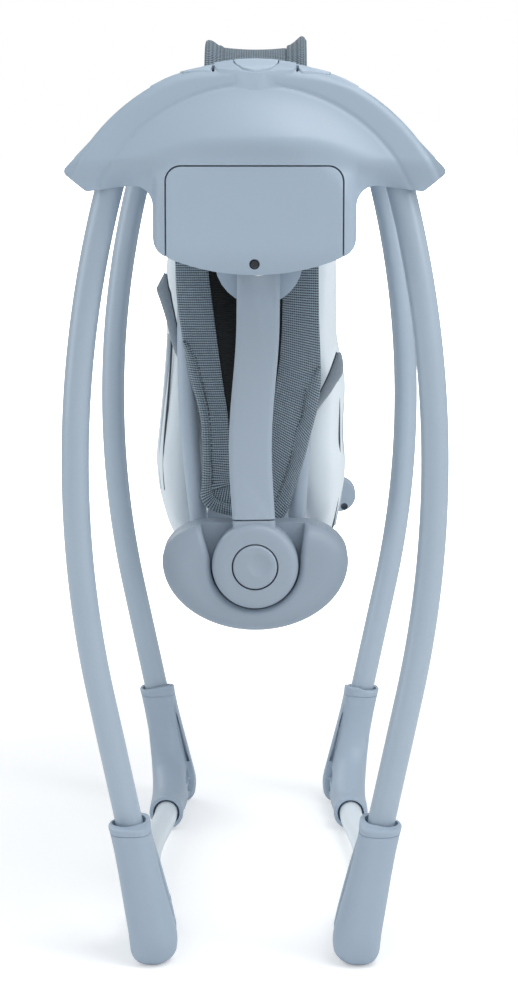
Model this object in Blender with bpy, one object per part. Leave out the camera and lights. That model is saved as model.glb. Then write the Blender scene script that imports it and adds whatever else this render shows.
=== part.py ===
"""Folding electric baby swing, folded and standing on its four feet.

Metres, +Z up. +X is to the right in the side view, +Y runs away from the viewer, from the near frame to
the far one. The origin is on the floor, midway between the feet. A depth below is a distance from the
middle plane, measured along Y: side is -1 for the near half and 1 for the far half.
"""

import math

import bmesh
import bpy
from mathutils import Vector

# General fits
seat_gap = 0.0003
running_gap = 0.0004
cut_over = 0.010
weld = 0.0010
NEAR, FAR = -1, 1
LEFT, RIGHT = -1, 1

# Depths of the housings, counted from the plane of the legs
leg_depth = 0.220
legs_to_rim = 0.028
legs_to_band = 0.018
band_round_depth = 0.005
dome_depth = 0.015
cover_thickness = 0.0085
disc_thickness = 0.0075
housing_edge_depth = leg_depth - legs_to_rim
housing_band_depth = leg_depth + legs_to_band
housing_round_depth = housing_band_depth + band_round_depth
housing_face_depth = housing_round_depth + dome_depth
cover_face_depth = housing_edge_depth - cover_thickness
disc_depth = cover_face_depth - disc_thickness

# Depths of the swing arms, hub fittings, brackets and seat frames, counted inwards from the covers
cover_to_arm = 0.0095
arm_thickness = 0.015
arm_to_sector = 0.003
hub_behind_arm = 0.003
hub_ahead_of_arm = 0.004
hub_stud_length = 0.008
hub_bore_wall = 0.0035
bracket_behind_arm_face = 0.002
bracket_back_room = 0.025
bracket_to_rail = 0.010
arm_inner_depth = cover_face_depth + cover_to_arm
arm_outer_depth = arm_inner_depth + arm_thickness
sector_inner_depth = arm_outer_depth + arm_to_sector
pocket_floor_depth = arm_inner_depth - hub_behind_arm
hub_outer_depth = arm_outer_depth + hub_ahead_of_arm
hub_stud_end_depth = pocket_floor_depth + hub_stud_length
hub_bore_floor_depth = hub_stud_end_depth + hub_bore_wall
bracket_outer_depth = arm_outer_depth - bracket_behind_arm_face
bracket_inner_depth = pocket_floor_depth - bracket_back_room
rail_depth = bracket_inner_depth - bracket_to_rail

# Leg tubes: an arc from the housing down, then a straight run into the foot
leg_tube_radius = 0.0098
leg_tube_wall = 0.0014
leg_arc_radius = 0.780
leg_widest_x = 0.126
leg_widest_z = 0.355
leg_straight_z = 0.195
leg_pin_z = 0.571
leg_pin_radius = 0.004
leg_pin_chamfer = 0.0006
leg_end_above_pin = 0.0095

# Feet and cross tubes
foot_rim_z = 0.102
foot_rim_half_x = 0.0150
foot_rim_half_depth = 0.0190
foot_wall_below_tube = 0.0160
foot_socket_end_gap = 0.006
foot_depth = leg_depth + 0.003
foot_toe_z = 0.0200
foot_flare_radius = 0.0122
foot_flare_length = 0.0030
foot_squareness = 2.7
# (height, half size along X, half size along Y)
foot_stations = (
    (0.0000, 0.0118, 0.0150),
    (0.0030, 0.0150, 0.0188),
    (0.0105, 0.0168, 0.0205),
    (0.0370, 0.0166, 0.0208),
    (0.0670, 0.0150, 0.0196),
    (foot_rim_z - 0.0065, 0.0142, 0.0182),
    (foot_rim_z - 0.0035, foot_rim_half_x, foot_rim_half_depth),
    (foot_rim_z, foot_rim_half_x, foot_rim_half_depth),
)
elbow_length = 0.095
elbow_mouth_depth = leg_depth - elbow_length
elbow_mouth_radius = 0.0144
elbow_flare_radius = 0.0112
elbow_flare_length = 0.008
elbow_socket_length = 0.036
cross_tube_x = 0.078
cross_tube_z = 0.0152
cross_tube_radius = 0.00945
cross_tube_wall = 0.0013
cross_tube_bow = 0.0085
# (distance past the mouth, distance from the cross tube towards the middle, centre height, half width,
# half height, squareness)
elbow_stations = (
    (0.1030, 0.0055, 0.0235, 0.0150, 0.0215, 2.6),
    (0.0810, 0.0045, 0.0235, 0.0160, 0.0226, 2.6),
    (0.0610, 0.0030, 0.0205, 0.0158, 0.0200, 2.5),
    (0.0410, 0.0012, 0.0172, 0.0149, 0.0168, 2.3),
    (0.0210, 0.0000, cross_tube_z, elbow_mouth_radius, elbow_mouth_radius, 2.0),
    (0.0000, 0.0000, cross_tube_z, elbow_mouth_radius, elbow_mouth_radius, 2.0),
)

# Housings
housing_wall = 0.003
face_wall = 0.006
crest_radius = 0.1415
crest_centre_z = 0.4995
crest_arc_x = 0.112
wing_tip = (0.1322, 0.5645)
wing_corner = (0.1155, 0.5510)
wing_under_z = 0.5570
wing_rounding = 0.0040
body_half_x = 0.0693
body_corner = 0.0085
body_fillet = 0.0095
body_bottom_z = 0.4950
body_bottom_radius = 0.150
band_rounding = 0.0022
face_rounding = 0.0020
crease_radius = 0.1177
crease_centre_z = 0.5063
crease_arc_x = 0.094
crease_side_x = 0.0985
crease_top_of_side_z = 0.5690
crease_trim = 0.0025
cover_rounding = 0.0030
leg_slot_gap = 0.0009
leg_slot_inner_room = 0.0012
leg_side_gap = 0.0010
leg_pin_start_depth = cover_face_depth + 0.0045
leg_pin_depth = leg_depth + 0.020
pin_boss_radius = 0.0070
lock_z = 0.548
lock_radius = 0.011
lock_proud = 0.0018
# (distance behind the face, distance in from the rim)
lock_dome = ((0.0000, 0.0020), (0.0010, 0.0006), (0.0020, 0.0000))

# Circuit board and the three pads in the crest, each over a switch on the board
board_z = 0.6085
board_thickness = 0.0016
board_half_x = 0.046
board_rib_x = 0.036
board_rib_thickness = 0.003
board_rib_height = 0.008
board_inner_depth = housing_edge_depth + 0.008
board_outer_depth = housing_band_depth + 0.004
button_gap = 0.0004
button_travel = 0.0012
button_proud = 0.0008
button_thickness = 0.0024
button_room = 0.006
button_stem_depth = leg_depth + 0.012
pad_back_corner = 0.002
pad_front_corner = 0.003
button_stem_width = 0.004
shield_half_x = 0.0145
shield_back_depth = leg_depth + 0.0015
shield_side_depth = leg_depth + 0.0190
shield_shoulder_x = 0.0080
shield_shoulder_depth = leg_depth + 0.0246
shield_tip_depth = leg_depth + 0.0278
leaf_inner_x = 0.0285
leaf_outer_x = 0.0475
leaf_back_depth = leg_depth + 0.0035
leaf_side_depth = leg_depth + 0.0185
leaf_front_depth = leg_depth + 0.0205
leaf_tip_depth = leg_depth + 0.0245
leaf_tip_x = leaf_inner_x + 0.004

# Battery box and door
door_half_x = 0.0598
door_top_z = 0.5686
door_corner = 0.010
door_thickness = 0.003
door_gap = 0.0005
cell_radius = 0.0131
cell_length = 0.050
cell_clearance = 0.0005
cell_nub_radius = 0.0035
cell_nub_length = 0.0015
contact_thickness = 0.0008
contact_room = 0.0030
contact_half_width = 0.008
contact_end_gap = 0.004
contact_bump_radius = 0.005
contact_bump_tip = 0.003
battery_wall = 0.0025
battery_centre_z = 0.5360
door_screw_z = 0.5027
door_screw_radius = 0.0033
door_screw_head = 0.0013
door_screw_sunk = 0.0002
door_screw_slot = 0.0008
door_screw_shank = 0.0014
door_screw_end_depth = housing_face_depth - 0.014

# Swing arms, their axles and the drive
swing_axis_x = 0.0025
swing_axis_z = 0.5010
axle_radius = 0.004
axle_chamfer = 0.0005
axle_boss_radius = 0.0075
axle_start_depth = cover_face_depth - 0.0045
axle_end_depth = housing_face_depth - 0.023
arm_slot_gap = 0.0040
gear_side_gap = 0.0010
disc_radius = 0.031
disc_rounding = 0.003
arm_half_x = 0.01515
arm_bow = 0.0044
arm_bow_top_z = 0.460
arm_end_z = 0.3188
arm_tongue_length = 0.010
arm_tongue_half_x = 0.0095
arm_tongue_half_depth = 0.0042
arm_rounding = 0.0030
sector_half_teeth = 4
sector_boss_radius = 0.009
sector_collar_radius = 0.008
sector_thickness = 0.006
gear_module = 0.002
gear_pressure_angle = math.radians(25)
gear_root_depth = 1.15 * gear_module
gear_tip_height = 0.8 * gear_module
pinion_teeth = 9
sector_teeth = 72
tooth_backlash = 0.0009
motor_radius = 0.012
motor_length = 0.027
motor_rounding = 0.002
motor_shaft_radius = 0.0015
motor_shaft_length = 0.006
motor_cradle_length = 0.010
motor_cradle_wall = 0.0025

# Hub fittings and seat brackets
hub_z = 0.2860
hub_radius = 0.031
hub_neck_spread = 0.024
hub_button_radius = 0.0159
hub_button_proud = 0.0012
hub_button_travel = 0.003
hub_stud_radius = 0.009
dimple_offset = (0.0030, 0.0015)
# (distance behind the face, distance in from the rim)
hub_dome = ((0.0055, 0.0000), (0.0028, 0.0009), (0.0008, 0.0030), (0.0000, 0.0060))
hub_button_dome = ((0.0016, 0.0000), (0.0004, 0.0010), (0.0000, 0.0030))
# (distance behind the face, radius)
hub_dimple = ((0.0009, 0.0008), (0.0006, 0.0042), (-0.0004, 0.0088))
bracket_half_x = 0.0662
bracket_flat_x = 0.0318
bracket_top_z = 0.3145
bracket_widest_z = 0.2885
bracket_bottom_z = 0.2380
bracket_wall = 0.003
bracket_rounding = 0.0034
pocket_gap = 0.0008
pocket_left_x = 0.0385
pocket_right_x = 0.0340
stud_boss_wall = 0.004
ear_centre = (0.068, 0.281)
ear_radius = 0.014
ear_depth = bracket_inner_depth + 0.020
ear_screw = (0.0723, 0.2713)
ear_screw_radius = 0.0030
ear_screw_length = 0.008

# Seat frames: two loops of tube, folded up face to face
rail_radius = 0.0065
rail_wall = 0.0012
rail_hinge_z = 0.300
rail_stud_radius = 0.004
rail_stud_over = 0.0008
rail_end_below = 0.0070
rail_top_z = 0.6430
rail_corner = 0.035
back_hinge_x = -0.0395
back_top_x = -0.0310
back_bow = 0.015
seat_hinge_x = 0.0285
seat_top_x = 0.0330
seat_bow = 0.006

# Soft parts
pad_clearance = 0.0025
pad_bottom_z = 0.287
pad_bottom_draw = 0.012
pad_bottom_fade = 0.030
pad_squareness = 4.5
pad_top_z = rail_top_z - rail_radius - pad_clearance
band_thickness = 0.0018
band_depth = rail_depth + rail_radius + 0.0017
cloth_thickness = 0.0018
cloth_sag = 0.0022
cloth_half_width = rail_depth - rail_corner - 0.002
cloth_left_x = back_top_x - 0.0035
cloth_right_x = seat_top_x - 0.0020
left_fold_height = 0.0080
left_fold_width = 0.0065
left_fold_narrowing = 0.0015
right_fold_height = 0.0115
right_fold_width = 0.0061
right_fold_lean = 0.0030
right_fold_slant = 0.0040
# (share of the pad's height, inner x, outer x)
back_pad_stations = (
    (0.0000, -0.0450, -0.0560),
    (0.0231, -0.0400, -0.0630),
    (0.1124, -0.0360, -0.0733),
    (0.1787, -0.0340, -0.0755),
    (0.3141, -0.0320, -0.0700),
    (0.4409, -0.0300, -0.0662),
    (0.5793, -0.0280, -0.0630),
    (0.7867, -0.0240, -0.0550),
    (0.9251, -0.0210, -0.0465),
    (0.9654, -0.0215, -0.0430),
    (0.9885, -0.0225, -0.0410),
    (1.0000, -0.0250, -0.0380),
)
seat_pad_stations = (
    (0.0000, 0.0480, 0.0590),
    (0.0317, 0.0380, 0.0640),
    (0.1585, 0.0240, 0.0677),
    (0.2277, 0.0205, 0.0645),
    (0.3372, 0.0185, 0.0670),
    (0.4352, 0.0180, 0.0590),
    (0.6052, 0.0180, 0.0585),
    (0.7867, 0.0180, 0.0520),
    (0.9251, 0.0190, 0.0430),
    (0.9654, 0.0200, 0.0415),
    (0.9885, 0.0220, 0.0400),
    (1.0000, 0.0250, 0.0380),
)
# (share of the way from the frames' hinges to their top, left x, right x)
back_band_edges = (
    (0.8746, -0.0520, -0.0270),
    (0.7143, -0.0570, -0.0310),
    (0.5539, -0.0575, -0.0310),
    (0.3907, -0.0496, -0.0244),
    (0.2012, -0.0395, -0.0150),
    (0.0729, -0.0384, -0.0130),
    (0.0175, -0.0370, -0.0130),
)
seat_band_edges = (
    (0.8746, 0.0190, 0.0420),
    (0.7143, 0.0195, 0.0430),
    (0.5394, 0.0196, 0.0433),
    (0.3907, 0.0200, 0.0449),
    (0.2857, 0.0140, 0.0392),
    (0.1574, 0.0000, 0.0248),
    (0.0583, -0.0085, 0.0135),
    (0.0175, -0.0085, 0.0100),
)


def clear_scene():
    for item in list(bpy.data.objects):
        bpy.data.objects.remove(item, do_unlink=True)


def material(name, colour, roughness, metallic=0.0):
    made = bpy.data.materials.new(name)
    made.use_nodes = True
    shader = made.node_tree.nodes["Principled BSDF"]
    shader.inputs["Base Color"].default_value = (*colour, 1.0)
    shader.inputs["Roughness"].default_value = roughness
    shader.inputs["Metallic"].default_value = metallic
    return made


def world_place(item):
    """Where an unturned item's origin is, added up through its parents."""
    place = Vector((0.0, 0.0, 0.0))
    while item is not None:
        place += item.location
        item = item.parent
    return place


def add_pivot(name, place, parent=None):
    """An empty on a joint's axis, which the pieces that turn there are parented to."""
    pivot = bpy.data.objects.new(name, None)
    pivot.empty_display_size = 0.02
    pivot.parent = parent
    pivot.location = Vector(place) - world_place(parent)
    bpy.context.collection.objects.link(pivot)
    return pivot


def add_piece(name, shape, look=None, parent=None):
    """A named object from a shape in world places, its origin on its parent's axis."""
    bmesh.ops.recalc_face_normals(shape, faces=shape.faces)
    bmesh.ops.translate(shape, vec=-world_place(parent), verts=shape.verts)
    mesh = bpy.data.meshes.new(name)
    shape.to_mesh(mesh)
    shape.free()
    mesh.shade_smooth()
    mesh.set_sharp_from_angle(angle=math.radians(35))
    if look is not None:
        mesh.materials.append(look)
    item = bpy.data.objects.new(name, mesh)
    item.parent = parent
    bpy.context.collection.objects.link(item)
    return item


def add_tool(name, shape):
    """A hidden solid that Booleans use."""
    tool = add_piece(name, shape)
    tool.hide_render = True
    tool.display_type = "WIRE"
    return tool


def combine(target, operation, shape):
    """Cut, join or intersect a piece with a shape, or with a tool that others use too."""
    tool = shape
    if isinstance(shape, bmesh.types.BMesh):
        tool = add_tool(f"{target.name}_tool_{len(target.modifiers)}", shape)
    step = target.modifiers.new(operation.title(), "BOOLEAN")
    step.operation = operation
    step.solver = "EXACT"
    step.object = tool


def cut(target, *shapes):
    for shape in shapes:
        combine(target, "DIFFERENCE", shape)


def join(target, *shapes):
    for shape in shapes:
        combine(target, "UNION", shape)


def soften(target, width, segments=2, angle=40):
    """Round the edges that are sharper than an angle."""
    step = target.modifiers.new("Soften", "BEVEL")
    step.width = width
    step.segments = segments
    step.limit_method = "ANGLE"
    step.angle_limit = math.radians(angle)
    step.use_clamp_overlap = True


def spaced(first, last, steps):
    """Evenly spaced values from first to last, both included."""
    return [first + (last - first) * i / steps for i in range(steps + 1)]


def arc(centre_x, centre_z, radius, first, last, steps):
    """Points of an arc between two angles in degrees, measured from +X towards +Z."""
    angles = [math.radians(angle) for angle in spaced(first, last, steps)]
    return [(centre_x + radius * math.cos(a), centre_z + radius * math.sin(a)) for a in angles]


def circle(centre_x, centre_z, radius, sides=24):
    return arc(centre_x, centre_z, radius, 0, 360, sides)[:-1]


def rounded(corners, steps=3):
    """An outline through (x, z, radius) corners. A radius of 0 keeps the corner sharp."""
    outline = []
    for i, (x, z, radius) in enumerate(corners):
        here = Vector((x, z))
        if radius == 0:
            outline.append((x, z))
            continue
        back = (Vector(corners[i - 1][:2]) - here).normalized()
        ahead = (Vector(corners[(i + 1) % len(corners)][:2]) - here).normalized()
        half = back.angle(ahead) / 2
        centre = here + (back + ahead).normalized() * radius / math.sin(half)
        start = here + back * radius / math.tan(half) - centre
        end = here + ahead * radius / math.tan(half) - centre
        first = math.atan2(start.y, start.x)
        turn = math.remainder(math.atan2(end.y, end.x) - first, math.tau)
        outline += [
            (centre.x + radius * math.cos(first + turn * k / steps),
             centre.y + radius * math.sin(first + turn * k / steps))
            for k in range(steps + 1)
        ]
    return outline


def inset(outline, distance):
    """The outline moved inwards by a distance, or outwards by a negative one."""
    points = [Vector(point) for point in outline]
    pairs = list(zip(points, points[1:] + points[:1]))
    area = sum(a.x * b.y - b.x * a.y for a, b in pairs)
    inwards = math.copysign(distance, distance * area)
    moved = []
    for i, here in enumerate(points):
        before = (here - points[i - 1]).normalized()
        after = (points[(i + 1) % len(points)] - here).normalized()
        left = Vector((-before.y - after.y, before.x + after.x))
        moved.append(tuple(here + left * inwards / (1 + before.dot(after))))
    return moved


def mirrored(half):
    """A whole outline from its right half, which starts and ends on the middle line."""
    return half + [(-x, *rest) for x, *rest in reversed(half[1:-1])]


def loft(rings):
    """A solid skinned through rings of equally many points, closed at both ends."""
    shape = bmesh.new()
    loops = [[shape.verts.new(point) for point in ring] for ring in rings]
    for lower, upper in zip(loops, loops[1:]):
        for i in range(len(lower)):
            shape.faces.new((lower[i - 1], lower[i], upper[i], upper[i - 1]))
    shape.faces.new(loops[0])
    shape.faces.new(loops[-1])
    return shape


def prism(outline, side, first_depth, last_depth):
    """A solid of an (x, z) outline between two depths on one side of the middle plane."""
    return loft([[(x, side * depth, z) for x, z in outline] for depth in (first_depth, last_depth)])


def upright_prism(outline, bottom, top):
    """A solid of an (x, y) outline between two heights."""
    return loft([[(x, y, z) for x, y in outline] for z in (bottom, top)])


def block(low, high):
    """A box between two opposite corners."""
    (x0, y0, z0), (x1, y1, z1) = low, high
    return upright_prism([(x0, y0), (x1, y0), (x1, y1), (x0, y1)], z0, z1)


def rod(place, side, first_depth, last_depth, radius, sides=20):
    """A round bar along Y through an (x, z) place."""
    return prism(circle(*place, radius, sides), side, first_depth, last_depth)


def turned(place, axis, profile, sides=20):
    """A solid turned about an axis through a place, from (distance along it, radius) pairs."""
    across = axis.orthogonal().normalized()
    other = axis.cross(across)
    rings = []
    for along, radius in profile:
        centre = Vector(place) + axis * along
        angles = [math.tau * i / sides for i in range(sides)]
        rings.append([centre + radius * (across * math.cos(a) + other * math.sin(a)) for a in angles])
    return loft(rings)


def rings_along(path, radius, sides):
    """Rings square to a path, carried along it without twist."""
    points = [Vector(point) for point in path]
    ends = zip([points[0], *points[:-1]], [*points[1:], points[-1]])
    ways = [(after - before).normalized() for before, after in ends]
    across = ways[0].orthogonal().normalized()
    last_way = ways[0]
    rings = []
    for point, way in zip(points, ways):
        across = last_way.rotation_difference(way) @ across
        other = way.cross(across)
        last_way = way
        angles = [math.tau * i / sides for i in range(sides)]
        rings.append([point + radius * (across * math.cos(a) + other * math.sin(a)) for a in angles])
    return rings


def tube(path, radius, wall, sides=16):
    """A hollow tube along a path, open at both ends."""
    shape = bmesh.new()
    skins = []
    for skin_radius in (radius, radius - wall):
        rings = rings_along(path, skin_radius, sides)
        skins.append([[shape.verts.new(point) for point in ring] for ring in rings])
    outer, inner = skins
    for ring_pairs in (zip(outer, outer[1:]), zip(inner, inner[1:]), ((outer[0], inner[0]),),
                       ((outer[-1], inner[-1]),)):
        for one, other in ring_pairs:
            for i in range(sides):
                shape.faces.new((one[i - 1], one[i], other[i], other[i - 1]))
    return shape


def bar(path, radius, sides=16):
    """A solid round bar along a path."""
    return loft(rings_along(path, radius, sides))


def leg_x(z):
    """How far a leg tube's centre line is from the middle at a height."""
    def on_arc(height):
        drop = height - leg_widest_z
        return leg_widest_x - leg_arc_radius + math.sqrt(leg_arc_radius ** 2 - drop ** 2)
    if z >= leg_straight_z:
        return on_arc(z)
    drop = leg_widest_z - leg_straight_z
    slope = drop / math.sqrt(leg_arc_radius ** 2 - drop ** 2)
    return on_arc(leg_straight_z) - slope * (leg_straight_z - z)


def housing_outline(arc_radius, arc_centre_z, arc_x, tip, corner, trim):
    """A housing's outline. trim draws the underside, the body's sides and its bottom inwards."""
    last = math.degrees(math.acos(arc_x / arc_radius))
    crest = [(x, z, 0) for x, z in arc(0, arc_centre_z, arc_radius, 90, last, 7)]
    half_x = body_half_x - trim
    bottom_centre = body_bottom_z + body_bottom_radius
    bottom_radius = body_bottom_radius - trim
    first = -math.degrees(math.acos(half_x / bottom_radius))
    under = [(*tip, wing_rounding), (*corner, wing_rounding), (half_x, wing_under_z + trim, body_fillet)]
    bottom = [(x, z, 0) for x, z in arc(0, bottom_centre, bottom_radius, first, -90, 3)]
    bottom[0] = (*bottom[0][:2], body_corner)
    return rounded(mirrored(crest + under + bottom), 2)


def band_outline():
    """The housing's full silhouette."""
    return housing_outline(crest_radius, crest_centre_z, crest_arc_x, wing_tip, wing_corner, 0)


def face_outline():
    """The flatter outer face, inside the crease that follows the crest."""
    tip = (crease_side_x, crease_top_of_side_z)
    corner = (crease_side_x, wing_under_z + crease_trim)
    return housing_outline(crease_radius, crease_centre_z, crease_arc_x, tip, corner, crease_trim)


def housing_body(side, grow=0.0):
    """The housing's outer form, or that form grown by a distance all round."""
    band, face = inset(band_outline(), -grow), inset(face_outline(), -grow)
    levels = (
        (housing_edge_depth, band),
        (housing_band_depth, band),
        (housing_round_depth + grow, inset(band, band_rounding)),
        (housing_face_depth - face_rounding + grow, face),
        (housing_face_depth + grow, inset(face, face_rounding)),
    )
    return loft([[(x, side * depth, z) for x, z in outline] for depth, outline in levels])


def housing_cavity(side):
    """The room inside the shell, open towards the inner cover."""
    band = inset(band_outline(), housing_wall)
    face = inset(face_outline(), housing_wall)
    levels = (
        (housing_edge_depth - cut_over, band),
        (housing_band_depth, band),
        (housing_face_depth - face_wall, face),
    )
    return loft([[(x, side * depth, z) for x, z in outline] for depth, outline in levels])


def leg_pin_place(hand):
    return hand * leg_x(leg_pin_z), leg_pin_z


def leg_slot(side, hand):
    """The cut under a wing and through its end, which a leg swings out in."""
    half_width = leg_tube_radius + leg_slot_gap
    inner_x = leg_x(wing_under_z) - leg_tube_radius - leg_slot_inner_room
    outline = [
        (hand * x, z)
        for x, z in (
            (inner_x, wing_corner[1] - cut_over),
            (inner_x, leg_pin_z),
            (leg_x(leg_pin_z) + leg_tube_radius, leg_pin_z + leg_tube_radius),
            (wing_tip[0] + cut_over, wing_corner[1] + leg_slot_gap),
            (wing_tip[0] + cut_over, wing_corner[1] - cut_over),
        )
    ]
    return prism(outline, side, leg_depth - half_width, leg_depth + half_width)


def door_outline(gap=0.0):
    """The door's outline, running on below the housing, whose round edge then trims it."""
    x, top = door_half_x + gap, door_top_z + gap
    corners = [(x, top, door_corner), (-x, top, door_corner), (-x, body_bottom_z - cut_over, 0),
               (x, body_bottom_z - cut_over, 0)]
    return rounded(corners, 4)


def battery_half_sizes():
    """Half the battery pocket's width and height."""
    half_x = cell_length + cell_clearance + contact_room
    half_z = 2 * cell_radius + 1.5 * cell_clearance
    return half_x, half_z


def battery_depths():
    """The pocket's outer and inner depths."""
    outer = housing_face_depth - door_thickness
    return outer, outer - 2 * (cell_radius + cell_clearance)


def box_outline(half_x, centre_z, half_z):
    low, high = centre_z - half_z, centre_z + half_z
    return [(half_x, low), (half_x, high), (-half_x, high), (-half_x, low)]


def pinion_place():
    reach = gear_module * (sector_teeth + pinion_teeth) / 2
    return swing_axis_x, swing_axis_z + reach


def motor_rear_depth():
    return housing_face_depth - face_wall - seat_gap


def button_plans():
    """Each crest button's outline from above, as (name, half outline or whole outline)."""
    shield = mirrored([
        (0, -shield_back_depth, 0),
        (shield_half_x, -shield_back_depth, pad_back_corner),
        (shield_half_x, -shield_side_depth, pad_front_corner),
        (shield_shoulder_x, -shield_shoulder_depth, pad_front_corner),
        (0, -shield_tip_depth, 0),
    ])
    leaf = [
        (leaf_inner_x, -leaf_back_depth, pad_back_corner),
        (leaf_outer_x, -leaf_back_depth, pad_back_corner),
        (leaf_outer_x, -leaf_side_depth, pad_front_corner),
        (leaf_tip_x, -leaf_tip_depth, pad_front_corner),
        (leaf_inner_x, -leaf_front_depth, pad_back_corner),
    ]
    return {
        "control_button_centre": shield,
        "control_button_right": leaf,
        "control_button_left": [(-x, y, radius) for x, y, radius in leaf],
    }


def board_top_z():
    return board_z + board_thickness


def above_crest_z():
    return crest_centre_z + crest_radius + cut_over


def add_housing(side, looks, root):
    """A housing's shell with its bosses and cuts, and its inner cover."""
    where = "near" if side == NEAR else "far"
    shell = add_piece(f"{where}_housing_shell", housing_body(side), looks["shell"], root)
    cut(shell, housing_cavity(side))
    inner_face = housing_face_depth - face_wall + weld
    axle_boss_start = sector_inner_depth + sector_thickness + gear_side_gap
    axis = (swing_axis_x, swing_axis_z)
    join(shell, rod(axis, side, axle_boss_start, inner_face, axle_boss_radius))
    for hand in (LEFT, RIGHT):
        pin_boss_start = leg_depth + leg_tube_radius + leg_side_gap
        join(shell, rod(leg_pin_place(hand), side, pin_boss_start, inner_face, pin_boss_radius, 12))
    if side == NEAR:
        half_x, half_z = battery_half_sizes()
        pocket_outer, pocket_inner = battery_depths()
        walls = box_outline(half_x + battery_wall, battery_centre_z, half_z + battery_wall)
        join(shell, prism(walls, side, pocket_inner - battery_wall, inner_face))
        cradle_start = motor_rear_depth() - motor_cradle_length
        join(shell, rod(pinion_place(), side, cradle_start, inner_face, motor_radius + motor_cradle_wall))
        for hand in (LEFT, RIGHT):
            rib_x, rib_half = hand * board_rib_x, board_rib_thickness / 2
            rib_end = side * (housing_edge_depth + housing_wall)
            join(shell, block((rib_x - rib_half, side * inner_face, board_z - board_rib_height),
                              (rib_x + rib_half, rib_end, board_z - seat_gap)))
    for hand in (LEFT, RIGHT):
        cut(shell, leg_slot(side, hand))
        cut(shell, rod(leg_pin_place(hand), side, leg_depth, leg_pin_depth + seat_gap,
                       leg_pin_radius + seat_gap, 10))
    arm_slot_half = arm_half_x + arm_slot_gap
    cut(shell, block((swing_axis_x - arm_slot_half, side * (housing_edge_depth - cut_over),
                      body_bottom_z - cut_over),
                     (swing_axis_x + arm_slot_half, side * axle_boss_start, swing_axis_z + cut_over)))
    cut(shell, rod(axis, side, axle_boss_start - cut_over, axle_end_depth + seat_gap,
                   axle_radius + running_gap, 16))
    if side == NEAR:
        cut(shell, prism(box_outline(half_x, battery_centre_z, half_z), side, pocket_inner,
                         pocket_outer + cut_over))
        cut(shell, prism(door_outline(door_gap), side, pocket_outer, housing_face_depth + cut_over))
        cut(shell, rod(pinion_place(), side, cradle_start - cut_over, motor_rear_depth() + seat_gap,
                       motor_radius + seat_gap))
        cut(shell, rod((0, door_screw_z), side, door_screw_end_depth - seat_gap, housing_face_depth,
                       door_screw_shank + seat_gap, 12))
        for plan in button_plans().values():
            outline = inset(rounded(plan, 2), -button_gap)
            cut(shell, upright_prism(outline, board_top_z() + button_room, above_crest_z()))
    add_cover(side, where, looks, root)


def add_cover(side, where, looks, root):
    band = band_outline()
    edge = housing_edge_depth - seat_gap
    levels = (
        (edge, band),
        (cover_face_depth + cover_rounding, band),
        (cover_face_depth, inset(band, cover_rounding)),
    )
    rings = [[(x, side * depth, z) for x, z in outline] for depth, outline in levels]
    cover = add_piece(f"{where}_housing_cover", loft(rings), looks["shell"], root)
    cut(cover, prism(inset(band, housing_wall), side, edge + cut_over, cover_face_depth + housing_wall))
    axis = (swing_axis_x, swing_axis_z)
    across = Vector((0, side, 0))
    disc = [(disc_depth, disc_radius - disc_rounding), (disc_depth + disc_rounding, disc_radius),
            (edge, disc_radius)]
    join(cover, turned((axis[0], 0, axis[1]), across, disc, 28))
    for hand in (LEFT, RIGHT):
        pin_boss_end = leg_depth - leg_tube_radius - leg_side_gap
        join(cover, rod(leg_pin_place(hand), side, cover_face_depth + weld, pin_boss_end,
                        pin_boss_radius, 12))
        cut(cover, rod(leg_pin_place(hand), side, leg_pin_start_depth - seat_gap, leg_depth,
                       leg_pin_radius + seat_gap, 10))
    cut(cover, rod(axis, side, axle_start_depth - seat_gap, arm_inner_depth, axle_radius + running_gap, 16))
    cut(cover, rod((0, lock_z), side, cover_face_depth - cut_over, housing_edge_depth,
                   lock_radius + seat_gap))


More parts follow.
